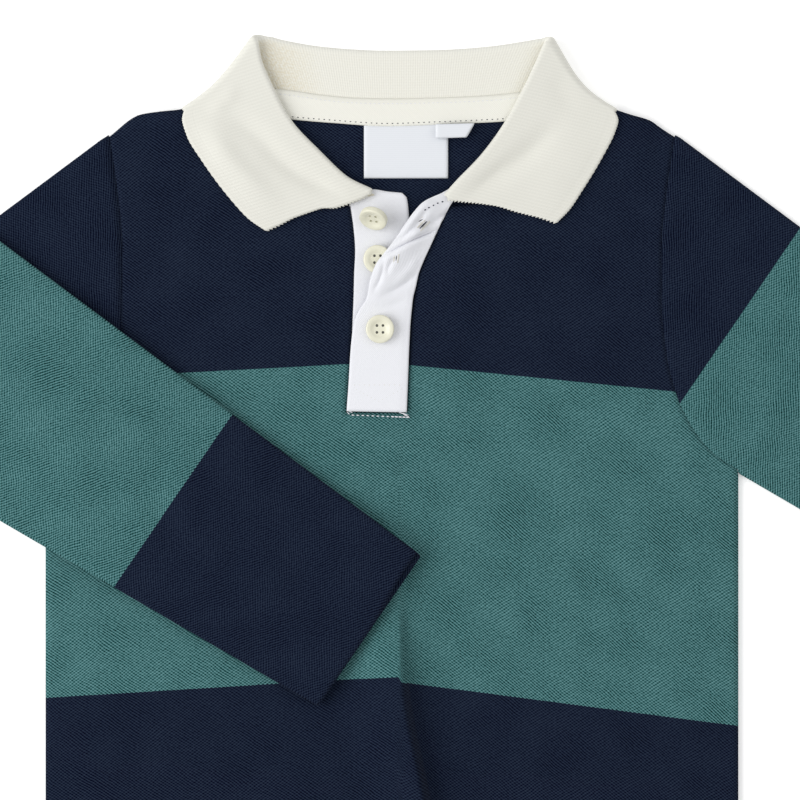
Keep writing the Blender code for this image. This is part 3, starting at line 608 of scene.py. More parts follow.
def material_of(kind):
    """Each material is made once, when the first piece asks for it."""
    if kind not in MATERIALS:
        colours, sizes = bpy.context.scene.polo_colours, bpy.context.scene.polo_sizes
        tape = ("cotton_neck_tape_twill", colours.tape, TAPE_TWILL_PITCH, 0.05)
        makers = {
            "pique": lambda: pique_knit(colours, sizes),
            "rib": lambda: rib_knit(colours, sizes),
            "twill": lambda: fine_twill("cotton_placket_twill", colours.placket, TWILL_PITCH, 0.06),
            "tape": lambda: fine_twill(*tape),
            "label": lambda: woven_satin(colours),
            "resin": lambda: moulded_resin(colours),
            "navy_thread": lambda: sewing_thread("navy_sewing_thread", colours.navy),
            "white_thread": lambda: sewing_thread("white_sewing_thread", colours.placket),
            # Greyish cream thread: on the box and cross stitching its grey is painted shade of stitches
            # sunk in the placket
            "cream_thread": lambda: sewing_thread("cream_thread_with_painted_shade", linear("#d9d5c6")),
            # The buttonhole slits are painted shade, in a dark material made like thread
            "slit_shade": lambda: sewing_thread("shadowed_buttonhole_cloth", linear("#2e2e33")),
        }
        MATERIALS[kind] = makers[kind]()
    return MATERIALS[kind]


# Cloth pieces

NECK_STEPS = 34
SLOT_FLAT_SHARE = 0.78
HEM_TO_SLOT_ROWS = 112
SLOT_ROWS = 44
BACK_ROWS = 150


def front_columns():
    """Places of the front's columns along its top edge, left to right, and the slot's two."""
    left = closing_spread(SLOT_TOP_LEFT, NECK_LEFT_X, NECK_STEPS)
    left += spread(NECK_LEFT_X, -SHOULDER_HALF, 28)
    right = closing_spread(SLOT_TOP_RIGHT, NECK_RIGHT_X, NECK_STEPS)
    right += spread(NECK_RIGHT_X, SHOULDER_HALF, 26)
    shares = spread(0.0, SLOT_FLAT_SHARE, 12)[1:] + spread(SLOT_FLAT_SHARE, 1.0, 14)
    middle = [lerp(SLOT_TOP_LEFT, SLOT_TOP_RIGHT, share) for share in shares]
    tops = [-SHOULDER_HALF] + left[::-1] + middle + right + [SHOULDER_HALF]
    return tops, tops.index(SLOT_TOP_LEFT), tops.index(SLOT_TOP_RIGHT)


def front_x(top_x, y):
    """Follow a column down from its place at the top edge."""
    left, right = SLOT_LEFT.at(y), SLOT_RIGHT.at(y)
    if top_x < SLOT_TOP_LEFT:
        start, end, top_start, top_end = left, -HALF_WIDTH.at(y), SLOT_TOP_LEFT, -SHOULDER_HALF
    elif top_x > SLOT_TOP_RIGHT:
        start, end, top_start, top_end = right, HALF_WIDTH.at(y), SLOT_TOP_RIGHT, SHOULDER_HALF
    else:
        start, end, top_start, top_end = left, right, SLOT_TOP_LEFT, SLOT_TOP_RIGHT
    return lerp(start, end, (top_x - top_start) / (top_end - top_start))


def build_front():
    tops, slot_left, slot_right = front_columns()
    slot_share = (SLOT_BOTTOM_Y + BODY_HALF_LENGTH) / (FRONT_NECK_Y + BODY_HALF_LENGTH)
    lower = spread(0.0, slot_share, HEM_TO_SLOT_ROWS)
    shares = lower + spread(slot_share, 1.0, SLOT_ROWS) + [1.0]

    def place(column, row):
        top_x = tops[column]
        y = lerp(-BODY_HALF_LENGTH, FRONT_NECK_Y, shares[row])
        above_slot = max(shares[row] - slot_share, 0.0) / (1.0 - slot_share)
        y += (front_top_y(top_x) - FRONT_NECK_Y) * above_slot
        if in_neck(top_x) and row == len(shares) - 1:
            y -= SEAM_GAP
        x = front_x(top_x, y)
        z = front_z(x, y) + relief(FRONT_CREASES, x, y) + hem_step(y)
        return x, y, z, x, stripe_coordinate(x, y)

    def in_slot(column, row):
        return slot_left <= column < slot_right and row >= len(lower)

    size = (len(tops) - 1, len(shares) - 1)
    piece = cloth_piece("front_cloth", *size, place, CLOTH, "pique", in_slot)
    join_to_frame(piece, "front")


def build_back():
    half = spread(0.0, NECK_RIGHT_X, 34) + spread(NECK_RIGHT_X, SHOULDER_HALF, 20) + [SHOULDER_HALF]
    left = spread(0.0, NECK_LEFT_X, 30) + spread(NECK_LEFT_X, -SHOULDER_HALF, 24) + [-SHOULDER_HALF]
    tops = left[:0:-1] + half

    def place(column, row):
        top_x = tops[column]
        top_y = back_top_y(top_x) - (SEAM_GAP if in_neck(top_x) else 0.0)
        y = lerp(-BODY_HALF_LENGTH, top_y, row / BACK_ROWS)
        x = top_x * HALF_WIDTH.at(y) / SHOULDER_HALF
        return x, y, back_z(x, y) + relief(BACK_CREASES, x, y), x, y - BACK_STRIPE_LOW

    piece = cloth_piece("back_cloth", len(tops) - 1, BACK_ROWS, place, CLOTH, "pique")
    join_to_frame(piece, "back")


# Steps across one layer of a flattened sleeve and round its edge
LAYER_STEPS = 46
TURN_STEPS = 5
SLEEVE_COLUMNS = 2 * (LAYER_STEPS + TURN_STEPS)
RIGHT_SLEEVE_ROWS = 116
# The left sleeve's rows to the crease, round it, and on to the cuff
ROWS_BEFORE, ROWS_ROUND, ROWS_AFTER = 16, 12, 100


def sleeve_line(share):
    """Ends of the sleeve's line at a share of its width: on the armhole and on the cuff."""
    share = min(max(share, 0.0), 1.0)
    armhole = (ARMHOLE_X.at(share) + SLEEVE_SEAM, ARMHOLE_Y.at(share))
    cuff = (lerp(CUFF_UNDER[0], CUFF_TOP[0], share), lerp(CUFF_UNDER[1], CUFF_TOP[1], share))
    return armhole, cuff


def sleeve_ring(step):
    """Share of the width, side push and layer height for a step round the flattened tube."""
    half = LAYER_STEPS + TURN_STEPS
    lap = step % half
    if lap <= LAYER_STEPS:
        share, turned = lap / LAYER_STEPS, 0.0
    else:
        share, turned = 1.0, (lap - LAYER_STEPS) / TURN_STEPS * math.pi
    push = SLEEVE_EDGE_RADIUS * math.sin(turned)
    upper = (1.0 - math.cos(turned)) / 2
    if step % (2 * half) >= half:
        return 1.0 - share, -push, 1.0 - upper
    return share, push, upper


def sleeve_cloth(column, x, y):
    """The sleeve's cloth coordinates: round the tube, and up from the stripe's lower line."""
    dx, dy = x - CUFF_UNDER[0], y - CUFF_UNDER[1]
    side = dx * ACROSS_CUFF[0] + dy * ACROSS_CUFF[1]
    if column >= SLEEVE_COLUMNS / 2:
        side = -side
    return side, dy * ACROSS_CUFF[0] - dx * ACROSS_CUFF[1] - CUFF_TO_STRIPE


def build_sleeve_right():
    def place(column, row):
        share, push, upper = sleeve_ring(column)
        armhole, cuff = sleeve_line(share)
        along = row / RIGHT_SLEEVE_ROWS
        x = lerp(armhole[0], cuff[0], along) + ACROSS_CUFF[0] * push
        y = lerp(armhole[1], cuff[1], along) + ACROSS_CUFF[1] * push
        loft = SLEEVE_LOFT * math.sin(math.pi * share) * smooth(along * 4) * (1.0 - along / 2)
        dents = relief(RIGHT_SLEEVE_CREASES, x, y) * loft
        z = BACK_Z + upper * (2 * SLEEVE_EDGE_RADIUS + loft + dents)
        return (x, y, z, *sleeve_cloth(column, x, y))

    size = (SLEEVE_COLUMNS, RIGHT_SLEEVE_ROWS)
    piece = cloth_piece("sleeve_right_cloth", *size, place, CLOTH, "pique")
    join_to_frame(piece, "sleeve_right")


def turn_over(x, z):
    """Carry a point of the flat left sleeve round the crease when it lies beyond it."""
    radius = FOLD_AXIS_Z - z
    beyond = FOLD_AXIS_X - x
    if beyond <= 0.0:
        return x, z
    angle = min(beyond / FOLD_NEUTRAL_RADIUS, math.pi)
    after = beyond - FOLD_NEUTRAL_RADIUS * angle
    return FOLD_AXIS_X - radius * math.sin(angle) + after, FOLD_AXIS_Z - radius * math.cos(angle)


def build_sleeve_left():
    rows = ROWS_BEFORE + ROWS_ROUND + ROWS_AFTER
    end_x = FOLD_AXIS_X - math.pi * FOLD_NEUTRAL_RADIUS

    def flat_x(armhole_x, cuff_x, row):
        if row <= ROWS_BEFORE:
            return lerp(armhole_x, FOLD_AXIS_X, row / ROWS_BEFORE)
        row -= ROWS_BEFORE
        if row <= ROWS_ROUND:
            return lerp(FOLD_AXIS_X, end_x, row / ROWS_ROUND)
        return lerp(end_x, cuff_x, (row - ROWS_ROUND) / ROWS_AFTER)

    def place(column, row):
        share, push, upper = sleeve_ring(column)
        armhole, cuff = sleeve_line(share)
        x = flat_x(-armhole[0], -cuff[0], row)
        at_cuff = smooth((row - rows + 4.0) / 4.0) * smooth((share - 0.5) / 0.4)
        x += CUFF_RECESS * at_cuff * (1.0 - upper)
        along = (x + armhole[0]) / (armhole[0] - cuff[0])
        y = lerp(armhole[1], cuff[1], along) + ACROSS_CUFF[1] * push
        x -= ACROSS_CUFF[0] * push
        folded_x, folded_z = turn_over(x, BACK_Z + upper * 2 * SLEEVE_EDGE_RADIUS)
        past = smooth((end_x - x) / 40.0)
        folded_z += SLEEVE_RIDE * smooth((end_x - x - 10.0) / 50.0)
        folded_z += SLEEVE_PUFF * past * (1.0 - upper) * math.sin(math.pi * share) ** 0.8
        dents = relief(LEFT_SLEEVE_CREASES, folded_x, y)
        dents *= math.sin(math.pi * min(share, 1.0)) ** 0.5
        folded_z += dents * past * (1.0 - upper)
        corner = smooth((along - 0.80) / 0.20) * smooth((share - 0.45) / 0.55)
        folded_z += CUFF_LIFT * corner * (1.0 - 0.35 * upper)
        return (folded_x, y, folded_z, *sleeve_cloth(column, -x, y))

    piece = cloth_piece("sleeve_left_cloth", SLEEVE_COLUMNS, rows, place, CLOTH, "pique")
    join_to_frame(piece, "sleeve_left")


# Collar sections: turn, seam x and y, fold x and y, outer edge x and y, seam lift, stand z, edge z
COLLAR = [
    (90, -6.9, 138.2, -7.4, 140.6, -50.4, 124, 0, 2.9, 4.2),
    (90, -16, 136.4, -17, 145.2, -56.8, 128.4, 0, 3.6, 4.4),
    (90, -28, 137, -29.2, 156.4, -66.4, 139, 0, 4.5, 4.7),
    (90, -48, 148.4, -40, 168, -75.2, 151, 0, 5, 5.4),
    (90, -58.2, 165, -47.4, 181.6, -81.6, 161.4, 0, 5.2, 5.5),
    (90, -60.6, 176, -52.1, 192.6, -83.6, 168.4, 0, 5.2, 5.5),
    (90, -60.6, 180, -53.4, 199, -82.9, 171.7, 0, 5.2, 5.5),
    (45, -60.6, 180, -53, 199.8, -82.9, 171.8, 0, 5.2, 5.5),
    (0, -60.6, 180, -52.2, 200.2, -82.9, 171.8, 0, 5.2, 5.5),
    (-45, -60.6, 180, -50.8, 200.9, -82.7, 171.6, 0, 5.2, 5.5),
    (-90, -60.4, 180.5, -48.4, 201.4, -82.8, 171.6, 0, 5.2, 5.5),
    (-90, -42.8, 179.2, -43.8, 200.3, -66, 163, 0, 5.2, 5.5),
    (-90, -27, 177, -30.5, 197.9, -44, 156.6, 0, 5.2, 5.5),
    (-90, -15, 175.9, -16.8, 196.6, -22, 154.4, 0, 5.2, 5.5),
    (-90, -2, 175.6, -2, 196, 0, 153.6, 0, 5.2, 5.5),
    (-90, 19.5, 176, 19.5, 196.3, 27, 154.4, 0, 5.2, 5.5),
    (-90, 40.8, 177, 40.8, 197.9, 50, 157, 0, 5.2, 5.5),
    (-90, 53, 178.4, 53.2, 199.8, 70, 162.6, 0, 5.2, 5.5),
    (-90, 68.4, 180.5, 58.6, 200.6, 88.6, 171.2, 0, 5.2, 5.5),
    (-45, 68.6, 180, 60, 200.2, 88.9, 171.4, 0, 5.2, 5.5),
    (0, 68.6, 180, 60.8, 199.6, 88.9, 171.4, 0, 5.2, 5.5),
    (45, 68.6, 180, 61, 199.2, 88.9, 171.4, 0, 5.2, 5.5),
    (90, 68.6, 180, 60.8, 199, 88.9, 171.4, 0, 5.2, 5.5),
    (90, 68.8, 176, 57.4, 191.6, 90.2, 168, 0, 5.2, 5.5),
    (90, 66.4, 164.6, 51.8, 180, 88.8, 163, 0, 5.2, 5.5),
    (90, 55.7, 147.6, 44.2, 166.2, 83.2, 152, 0, 5.1, 5.4),
    (90, 38.9, 137.2, 35.4, 154.2, 76.4, 140.8, 0, 5, 4.8),
    (90, 27.6, 138.4, 26.2, 144.6, 70.8, 132.4, 1, 5, 4.5),
    (90, 21.6, 137.4, 20.4, 138.2, 65.8, 127.2, 2.5, 5, 4.4),
]
COLLAR_CURVES = [Curve(list(enumerate(column))) for column in zip(*COLLAR)]
COLLAR_FOLD_RADIUS = 1.0
BACK_STAND_Z = 2.7
LEFT_SIDE_OUTWARD = (-0.70, 0.71)
RIGHT_SIDE_OUTWARD = (0.74, 0.67)
END_TOOTH = 0.95
EDGE_TOOTH = 0.22
# Share of the leaf's front edge and how far its cut end stands off a straight line, upwards
FRONT_END = Curve([
    (0, 0), (0.04, -0.5), (0.1, -0.9), (0.22, -0.9), (0.33, -0.7), (0.5, 1.1), (0.72, 1.2),
    (0.88, 0.4), (1, 0),
])
RIGHT_FRONT_END = Curve([
    (0, -1.2), (0.06, -0.8), (0.33, 0.7), (0.48, 1.1), (0.65, 0.7), (0.83, 0.6), (1, 0),
])
# The leaf sags inwards between the neck side and the shoulder: section index and depth
SIDE_SAG = Curve([
    (0, 0), (3, 0), (4, 0.6), (5, 1.8), (6, 2.2), (10, 2.2), (11, 0.8), (12, 0), (16, 0), (17, 0.9),
    (18, 3.3), (22, 3.3), (23, 2.8), (24, 1.3), (25, 0), (28, 0),
])
SAG_PEAK = 1.2
# The wales lie straight across each leaf, and fan out on the stand
LEFT_WALE_ANGLE = 18.0
RIGHT_WALE_ANGLE = -14.0
LEAF_WALE_SPREAD = 1.5
STAND_FAN = 0.42
STAND_MIDDLE_Y = 178.0
# The leaf springs up from its outer edge and sags towards the fold, unevenly round the neck
COLLAR_CREASES = creases(
    (-73, 164, -49, 137, 2, 5.5, 1.9), (-65, 170, -45, 152, -1.5, 4.4, -1.1),
    (-47, 154, -22, 140, 1.5, 4, -1.6), (66, 186, 72, 172, 1, 5, -0.4),
    (64, 164, 30, 140, -2, 4.6, -1.7), (78, 158, 60, 136, 1.5, 7.5, 0.5),
    (-72, 172, -62, 180, 0.6, 3, 0.6),
)
# Steps of the band up the stand, round the fold, down the leaf, and along each section
STAND_STEPS = 12
FOLD_STEPS = 10
LEAF_STEPS = 62
SECTION_STEPS = 12


def wale_coordinate(point, on_front):
    """Place across the wales, in millimetres at the stand's spacing."""
    if on_front:
        angle = math.radians(LEFT_WALE_ANGLE if point.x < NECK_CENTRE_X else RIGHT_WALE_ANGLE)
        return (point.y * math.cos(angle) - point.x * math.sin(angle)) / LEAF_WALE_SPREAD
    off = point.x - NECK_CENTRE_X
    lean = math.copysign(STAND_FAN * (abs(off) / 52.0) ** 1.5, off)
    return point.x - lean * (point.y - STAND_MIDDLE_Y)


def collar_point(index, part, share):
    """Point of the band's middle surface: on the stand, round the fold, or on the leaf."""
    values = [curve.at(index) for curve in COLLAR_CURVES]
    turn_degrees, seam, fold_top, edge = values[0], values[1:3], values[3:5], values[5:7]
    seam_lift, stand_z, edge_z = values[7:]
    up = unit(fold_top[0] - seam[0], fold_top[1] - seam[1])
    back = unit(fold_top[0] - edge[0], fold_top[1] - edge[1])
    over = unit(up[0] + back[0], up[1] + back[1])
    reach = COLLAR_FOLD_RADIUS + COLLAR_WALL / 2
    fold = (fold_top[0] - reach * over[0], fold_top[1] - reach * over[1])
    if part == "stand":
        x, y = lerp(seam[0], fold[0], share), lerp(seam[1], fold[1], share)
        high = lerp(front_z(*seam) + seam_lift, stand_z, share)
        low = lerp(back_z(*seam), BACK_STAND_Z, share)
    elif part == "fold":
        sideways = COLLAR_FOLD_RADIUS * math.sin(math.pi * share)
        upwards = COLLAR_FOLD_RADIUS * (1.0 - math.cos(math.pi * share))
        x, y = fold[0] + over[0] * sideways, fold[1] + over[1] * sideways
        high, low = stand_z + upwards, BACK_STAND_Z - upwards
    else:
        x, y = lerp(fold[0], edge[0], share), lerp(fold[1], edge[1], share)
        high = lerp(stand_z + 2 * COLLAR_FOLD_RADIUS, edge_z, share)
        low = BACK_LEAF_Z
    middle, radius = (high + low) / 2, (high - low) / 2
    turn = math.radians(turn_degrees)
    outward = LEFT_SIDE_OUTWARD if fold_top[0] < NECK_CENTRE_X else RIGHT_SIDE_OUTWARD
    flatter = 1.0 - 0.55 * share if part == "leaf" else 1.0
    x += outward[0] * radius * math.cos(turn) * flatter
    y += outward[1] * radius * math.cos(turn) * flatter
    return Vector((x, y, middle + radius * math.sin(turn)))


def build_collar():
    """The rib band, stepped from its seam up the stand, round the fold and down the leaf."""
    steps = [("stand", lerp(0.03, 1.0, i / STAND_STEPS)) for i in range(STAND_STEPS)]
    steps += [("fold", i / FOLD_STEPS) for i in range(FOLD_STEPS + 1)]
    steps += [("leaf", i / LEAF_STEPS) for i in range(1, LEAF_STEPS + 1)]
    last = len(COLLAR) - 1
    columns = last * SECTION_STEPS

    def place(column, row):
        index = column / SECTION_STEPS
        part, share = steps[row]
        point = collar_point(index, part, share)
        outer = collar_point(index, "leaf", 1.0)
        on_front = COLLAR_CURVES[0].at(index) > 0
        if part == "leaf":
            point.y += FRONT_END.at(share) * smooth(1.0 - index / 1.6)
            point.y += RIGHT_FRONT_END.at(share) * smooth(1.0 - (last - index) / 1.6)
            sag = SIDE_SAG.at(index) * math.sin(math.pi * share**SAG_PEAK)
            outward = LEFT_SIDE_OUTWARD if index < len(COLLAR) / 2 else RIGHT_SIDE_OUTWARD
            point -= Vector((*outward, 0.0)) * sag
            if on_front:
                dents = relief(COLLAR_CREASES, point.x, point.y)
                point.z += dents * smooth(share * 5) * smooth((1 - share) * 6)
        # The linked ends of the wales leave small teeth along the cut ends and the outer edge
        if column in (0, columns) and part == "leaf" and row % 2:
            inward = collar_point(min(max(index, 0.3), last - 0.3), part, share) - point
            point -= inward.normalized() * END_TOOTH
        if row == len(steps) - 1 and column % 2:
            point += (point - collar_point(index, "leaf", 0.9)).normalized() * EDGE_TOOTH
        if part == "leaf":
            from_edge = (point - outer).length
        elif part == "fold":
            leaf_run = (collar_point(index, "leaf", 0.0) - outer).length
            from_edge = lerp(STAND_START, leaf_run, share)
        else:
            stand_run = (collar_point(index, part, 1.0) - collar_point(index, part, 0.0)).length
            from_edge = STAND_START + (1.0 - share) * stand_run
        return (*point, wale_coordinate(point, on_front), from_edge)

    size = (columns, len(steps) - 1)
    piece = cloth_piece("collar_rib", *size, place, COLLAR_WALL, "rib", even=False)
    join_to_frame(piece, "collar")


# Upper placket: seam x and y, free edge x and y, heights at the seam, the crest and the free edge
BUTTONHOLE_PLACKET = [
    (27.9, 139.8, 22.6, 140.6, 3.6, 3.4, 3.4), (25.6, 137.2, 19.4, 138.8, 3.6, 3.8, 3.8),
    (23.1, 133.8, 15.8, 137.2, 3.6, 4.6, 4.4), (21.1, 130, 12.2, 135.1, 3.6, 6.4, 5.4),
    (19.1, 126, 8.6, 131.2, 3.6, 7.8, 6.6), (16.8, 121, 5, 126.2, 3.6, 8.4, 7.2),
    (14.5, 116, 1.4, 120.8, 3.6, 8.4, 7.2), (12.4, 111.4, -2.6, 115.6, 3.6, 8, 7.1),
    (10.6, 106.6, -6.4, 110.6, 3.6, 7.5, 6.9), (9.6, 102, -8.8, 104.2, 3.6, 6.7, 6.4),
    (8.4, 97, -10.2, 97, 3.6, 5.4, 5.3), (7.9, 92.6, -13, 92.6, 3.6, 4.5, 4.5),
    (7.4, 87.4, -15.1, 87.6, 3.6, 4, 4), (6.9, 78, -16.4, 78, 3.6, 3.9, 3.9),
    (6.3, 62, -17.4, 62, 3.6, 3.9, 3.9), (5.9, 51.5, -18.1, 51.9, 3.6, 3.9, 3.9),
]
PLACKET_CURVES = [Curve(list(enumerate(column))) for column in zip(*BUTTONHOLE_PLACKET)]
PLACKET_ON_PLACKET_Z = 3.9
SEAM_STEP_SHARE = 0.15
CREST_SHARE = 0.84
# Steps across the placket, and down each of its sections
UPPER_PLACKET_STEPS = (40, 9)
UPPER_PLACKET_WIDTH = 22.0
UPPER_PLACKET_CREASES = creases(
    (-2.4, 114.2, 17.8, 124.2, -0.7, 0.9, -2.2), (13.4, 131.6, 0.6, 117.8, -0.6, 1.4, -1.8),
    (9, 124.4, 17.6, 128.4, 0, 2.2, -1), (-3.2, 111.6, -6.8, 100.6, -0.6, 1, -1),
    (1, 113.6, -2.2, 106.8, 0.4, 1, -1), (-3.6, 98.4, 9.6, 106.4, 0.8, 1.4, -0.9),
    (16.8, 127.6, 23.2, 133.2, 0.4, 1.1, -0.9), (8.6, 122.6, 13.6, 125, 0, 0.8, 0.5),
    (2, 104, 10, 113, 0.6, 1.6, 0.5), (-8, 92, 4, 95.4, 0.5, 1.6, -0.4),
)


def upper_placket_point(index, side):
    values = [curve.at(index) for curve in PLACKET_CURVES]
    seam_x, seam_y, free_x, free_y, seam_z, crest_z, free_z = values
    x, y = lerp(seam_x, free_x, side), lerp(seam_y, free_y, side)
    z = lerp(seam_z, PLACKET_ON_PLACKET_Z, smooth(side / SEAM_STEP_SHARE))
    z += (crest_z - PLACKET_ON_PLACKET_Z) * smooth(side / CREST_SHARE)
    z += (free_z - crest_z) * smooth((side - CREST_SHARE) / (1.0 - CREST_SHARE))
    z += relief(UPPER_PLACKET_CREASES, x, y) * smooth((crest_z - 4.2) / 1.0)
    return Vector((x, y, z))


def build_upper_placket():
    columns, per_row = UPPER_PLACKET_STEPS
    rows = (len(BUTTONHOLE_PLACKET) - 1) * per_row

    def place(column, row):
        point = upper_placket_point(row / per_row, column / columns)
        return (*point, column / columns * UPPER_PLACKET_WIDTH, -point.y)

    piece = cloth_piece("placket_buttonhole_cloth", columns, rows, place, PLACKET_WALL, "twill")
    join_to_frame(piece, "placket_buttonhole_side")


BUTTON_PLACKET_RIGHT = Curve([
    (51.9, 2.4), (70, 3), (86, 4.2), (98, 5.2), (106, 6.6), (114, 7.8), (122, 7.7), (130.4, 6.8),
    (137.2, 5.9), (139.2, 3.9),
])
BUTTON_PLACKET_TOP = Curve([
    (-17.5, 138), (-10, 139.8), (-7.6, 140.6), (-1.6, 139.7), (3.9, 139.2),
])
BUTTON_PLACKET_BOTTOM = 51.9
BUTTON_PLACKET_Z = 2.0


def build_lower_placket():
    columns, rows = 30, 100
    left_top, right_top = BUTTON_PLACKET_TOP.values[0], BUTTON_PLACKET_TOP.values[-1]

    def place(column, row):
        share = row / rows
        left = SLOT_LEFT.at(lerp(BUTTON_PLACKET_BOTTOM, left_top, share)) - SEAM_GAP
        right = BUTTON_PLACKET_RIGHT.at(lerp(BUTTON_PLACKET_BOTTOM, right_top, share))
        x = lerp(left, right, column / columns)
        y = lerp(BUTTON_PLACKET_BOTTOM, BUTTON_PLACKET_TOP.at(x), share)
        return x, y, BUTTON_PLACKET_Z, x, y

    piece = cloth_piece("placket_button_cloth", columns, rows, place, PLACKET_WALL, "twill")
    join_to_frame(piece, "placket_button_side")


TAPE_LEFT_X = -50.0
TAPE_RIGHT_X = 58.0
TAPE_OVER_SEAM = 1.2
TAPE_EDGE_SINK = 0.95
TAPE_LOWER = Curve([
    (-50, 169.4), (-40.5, 168.4), (-23.4, 167), (-2, 165.7), (19.5, 166.4), (33.6, 167),
    (45.2, 167.6), (58, 168.6),
])
LABEL_LEFT_X = -11.2
LABEL_RIGHT_X = 22.4
LABEL_BOTTOM_Y = 145.0
TAB_LEFT_X = 17.8
TAB_RIGHT_X = 31.6
TAB_LOW_Y = 161.2
TAB_WIDTH = 5.6
TAB_LOOP_RADIUS = 0.8
TAB_TOP_END_X = 17.4
TAB_SLANT = 3.2
TAB_DROOP = 0.03
# Steps along each flat of the tab, round its loop and across it
TAB_STEPS = (14, 12, 8)
LABEL_WALL = 0.8
LABEL_EDGE_SINK = 0.25
TAB_WALL = 0.7


def on_back(x, y, layers):
    """Middle of a wall that lies on the back panel, over a number of other such walls."""
    return back_z(x, y) + (CLOTH + SEAM_GAP) * (layers + 1)


def build_tape():
    columns, rows = 120, 12

    def place(column, row):
        x = lerp(TAPE_LEFT_X, TAPE_RIGHT_X, column / columns)
        y = lerp(TAPE_LOWER.at(x), back_top_y(x) + TAPE_OVER_SEAM, row / rows)
        z = on_back(x, y, 0) - TAPE_EDGE_SINK * smooth((row / rows - 0.78) / 0.22)
        return x, y, z, x, y

    piece = cloth_piece("neck_tape_cloth", columns, rows, place, CLOTH, "tape")
    join_to_frame(piece, "neck_tape")


def build_label_and_tab():
    columns, rows = 34, 24

    def place_label(column, row):
        x = lerp(LABEL_LEFT_X, LABEL_RIGHT_X, column / columns)
        y = lerp(LABEL_BOTTOM_Y, TAPE_LOWER.at(x) + SEAM_GAP, row / rows)
        return x, y, on_back(x, y, 0) - LABEL_EDGE_SINK * smooth((row / rows - 0.9) / 0.1), x, y

    label = cloth_piece("neck_label_satin", columns, rows, place_label, LABEL_WALL, "label")
    join_to_frame(label, "neck_label")
    flat, loop, across = TAB_STEPS
    loop_x = TAB_RIGHT_X - TAB_LOOP_RADIUS - CLOTH / 2

    def place_tab(column, row):
        if column <= flat:
            x, turned = lerp(TAB_LEFT_X, loop_x, column / flat), 0.0
        elif column <= flat + loop:
            turned = (column - flat) / loop * math.pi
            x = loop_x + TAB_LOOP_RADIUS * math.sin(turned)
        else:
            x, turned = lerp(loop_x, TAB_TOP_END_X, (column - flat - loop) / flat), math.pi
        y = TAB_LOW_Y + TAB_WIDTH * row / across
        z = on_back(TAB_LEFT_X, TAB_LOW_Y, 1) + TAB_LOOP_RADIUS * (1.0 - math.cos(turned))
        slant = TAB_SLANT * (row / across - 0.5)
        slant *= smooth((x - TAB_TOP_END_X) / (loop_x - TAB_TOP_END_X))
        return x + slant, y - TAB_DROOP * (TAB_RIGHT_X - x), z, column, y

    tab = cloth_piece("size_tab_satin", 2 * flat + loop, across, place_tab, TAB_WALL, "label")
    join_to_frame(tab, "size_tab")


# Sewing

Stitch = namedtuple("Stitch", "pitch length width lift")
TAPE_LOW_STITCH = Stitch(2.1, 0.8, 0.45, -0.05)
TAPE_HIGH_STITCH = Stitch(1.8, 0.9, 0.3, -0.05)
TOP_SEAM_STITCH = Stitch(0.9, 0.9, 0.6, 0.0)
BASE_STITCH = Stitch(2.0, 1.3, 0.5, 0.35)
BASE_END_STITCH = Stitch(1.5, 1.6, 0.6, 0.4)
BOX_STITCH = Stitch(2.0, 0.7, 0.28, -0.08)
CROSS_STITCH = Stitch(1.7, 0.5, 0.25, -0.08)
HEM_STITCH = Stitch(2.6, 1.9, 0.4, 0.0)
HEM_BACK_STITCH = Stitch(2.6, 1.9, 0.4, 0.15)
BUTTONHOLE_STITCH = Stitch(0.6, 0.75, 0.32, -0.08)
BUTTONHOLE_PITCH = 0.42
HEM_ROWS = (15.0, 18.0)
HEM_ROW_END = 136.0
TOP_SEAM_STITCHES = [(20.1, 135.5), (18.2, 134.9), (16.5, 134), (14.7, 133.1), (13.2, 132.2)]
# Thread ends left loose at the foot of the placket
LOOSE_ENDS = [
    ((-17.8, 52.4), (-15.6, 51.2)),
    ((-18.0, 51.6), (-16.8, 50.6)),
    ((2.6, 51.5), (6.9, 50.3)),
    ((4.4, 50.7), (7.0, 49.7)),
]
# Buttonholes: middle x and y, direction in degrees, slit length and width
BUTTONHOLES = [
    (12.6, 126.3, 45, 5, 0.6), (11.5, 128, 30, 2.6, 0.45), (1.7, 112.9, 82, 3.2, 0.4),
]


def add_stitches(sewing, points, stitch):
    """Thread stitches along a line of points: each a slim rounded bead laid on the cloth."""
    travelled, due = 0.0, stitch.pitch / 2
    for first, second in zip(points, points[1:]):
        step = second - first
        while step.length > 0.0 and due <= travelled + step.length:
            spot = first + step * ((due - travelled) / step.length)
            spot.z += stitch.lift
            turn = step.to_track_quat("X", "Z").to_matrix().to_4x4()
            made = bmesh.ops.create_uvsphere(sewing, u_segments=6, v_segments=4, radius=0.5 * MM)
            shape = Matrix.Diagonal((stitch.length, stitch.width, stitch.width, 1.0))
            place = Matrix.Translation(spot * MM)
            bmesh.ops.transform(sewing, matrix=place @ turn @ shape, verts=made["verts"])
            due += stitch.pitch
        travelled += step.length


def finish_sewing(sewing, name, kind):
    mesh = mesh_from(sewing, name, material_of(kind))
    mesh.shade_smooth()
    join_to_frame(add_object(name, mesh))


def sample(function, start, end, count):
    return [Vector(function(lerp(start, end, i / count))) for i in range(count + 1)]


def placket_height(x, y):
    """Height of the upper placket's top face under a plan point."""
    points = [upper_placket_point(i / 10, side / 20) for i in range(141) for side in range(21)]
    nearest = min(points, key=lambda point: (point.x - x) ** 2 + (point.y - y) ** 2)
    return nearest.z + PLACKET_WALL / 2


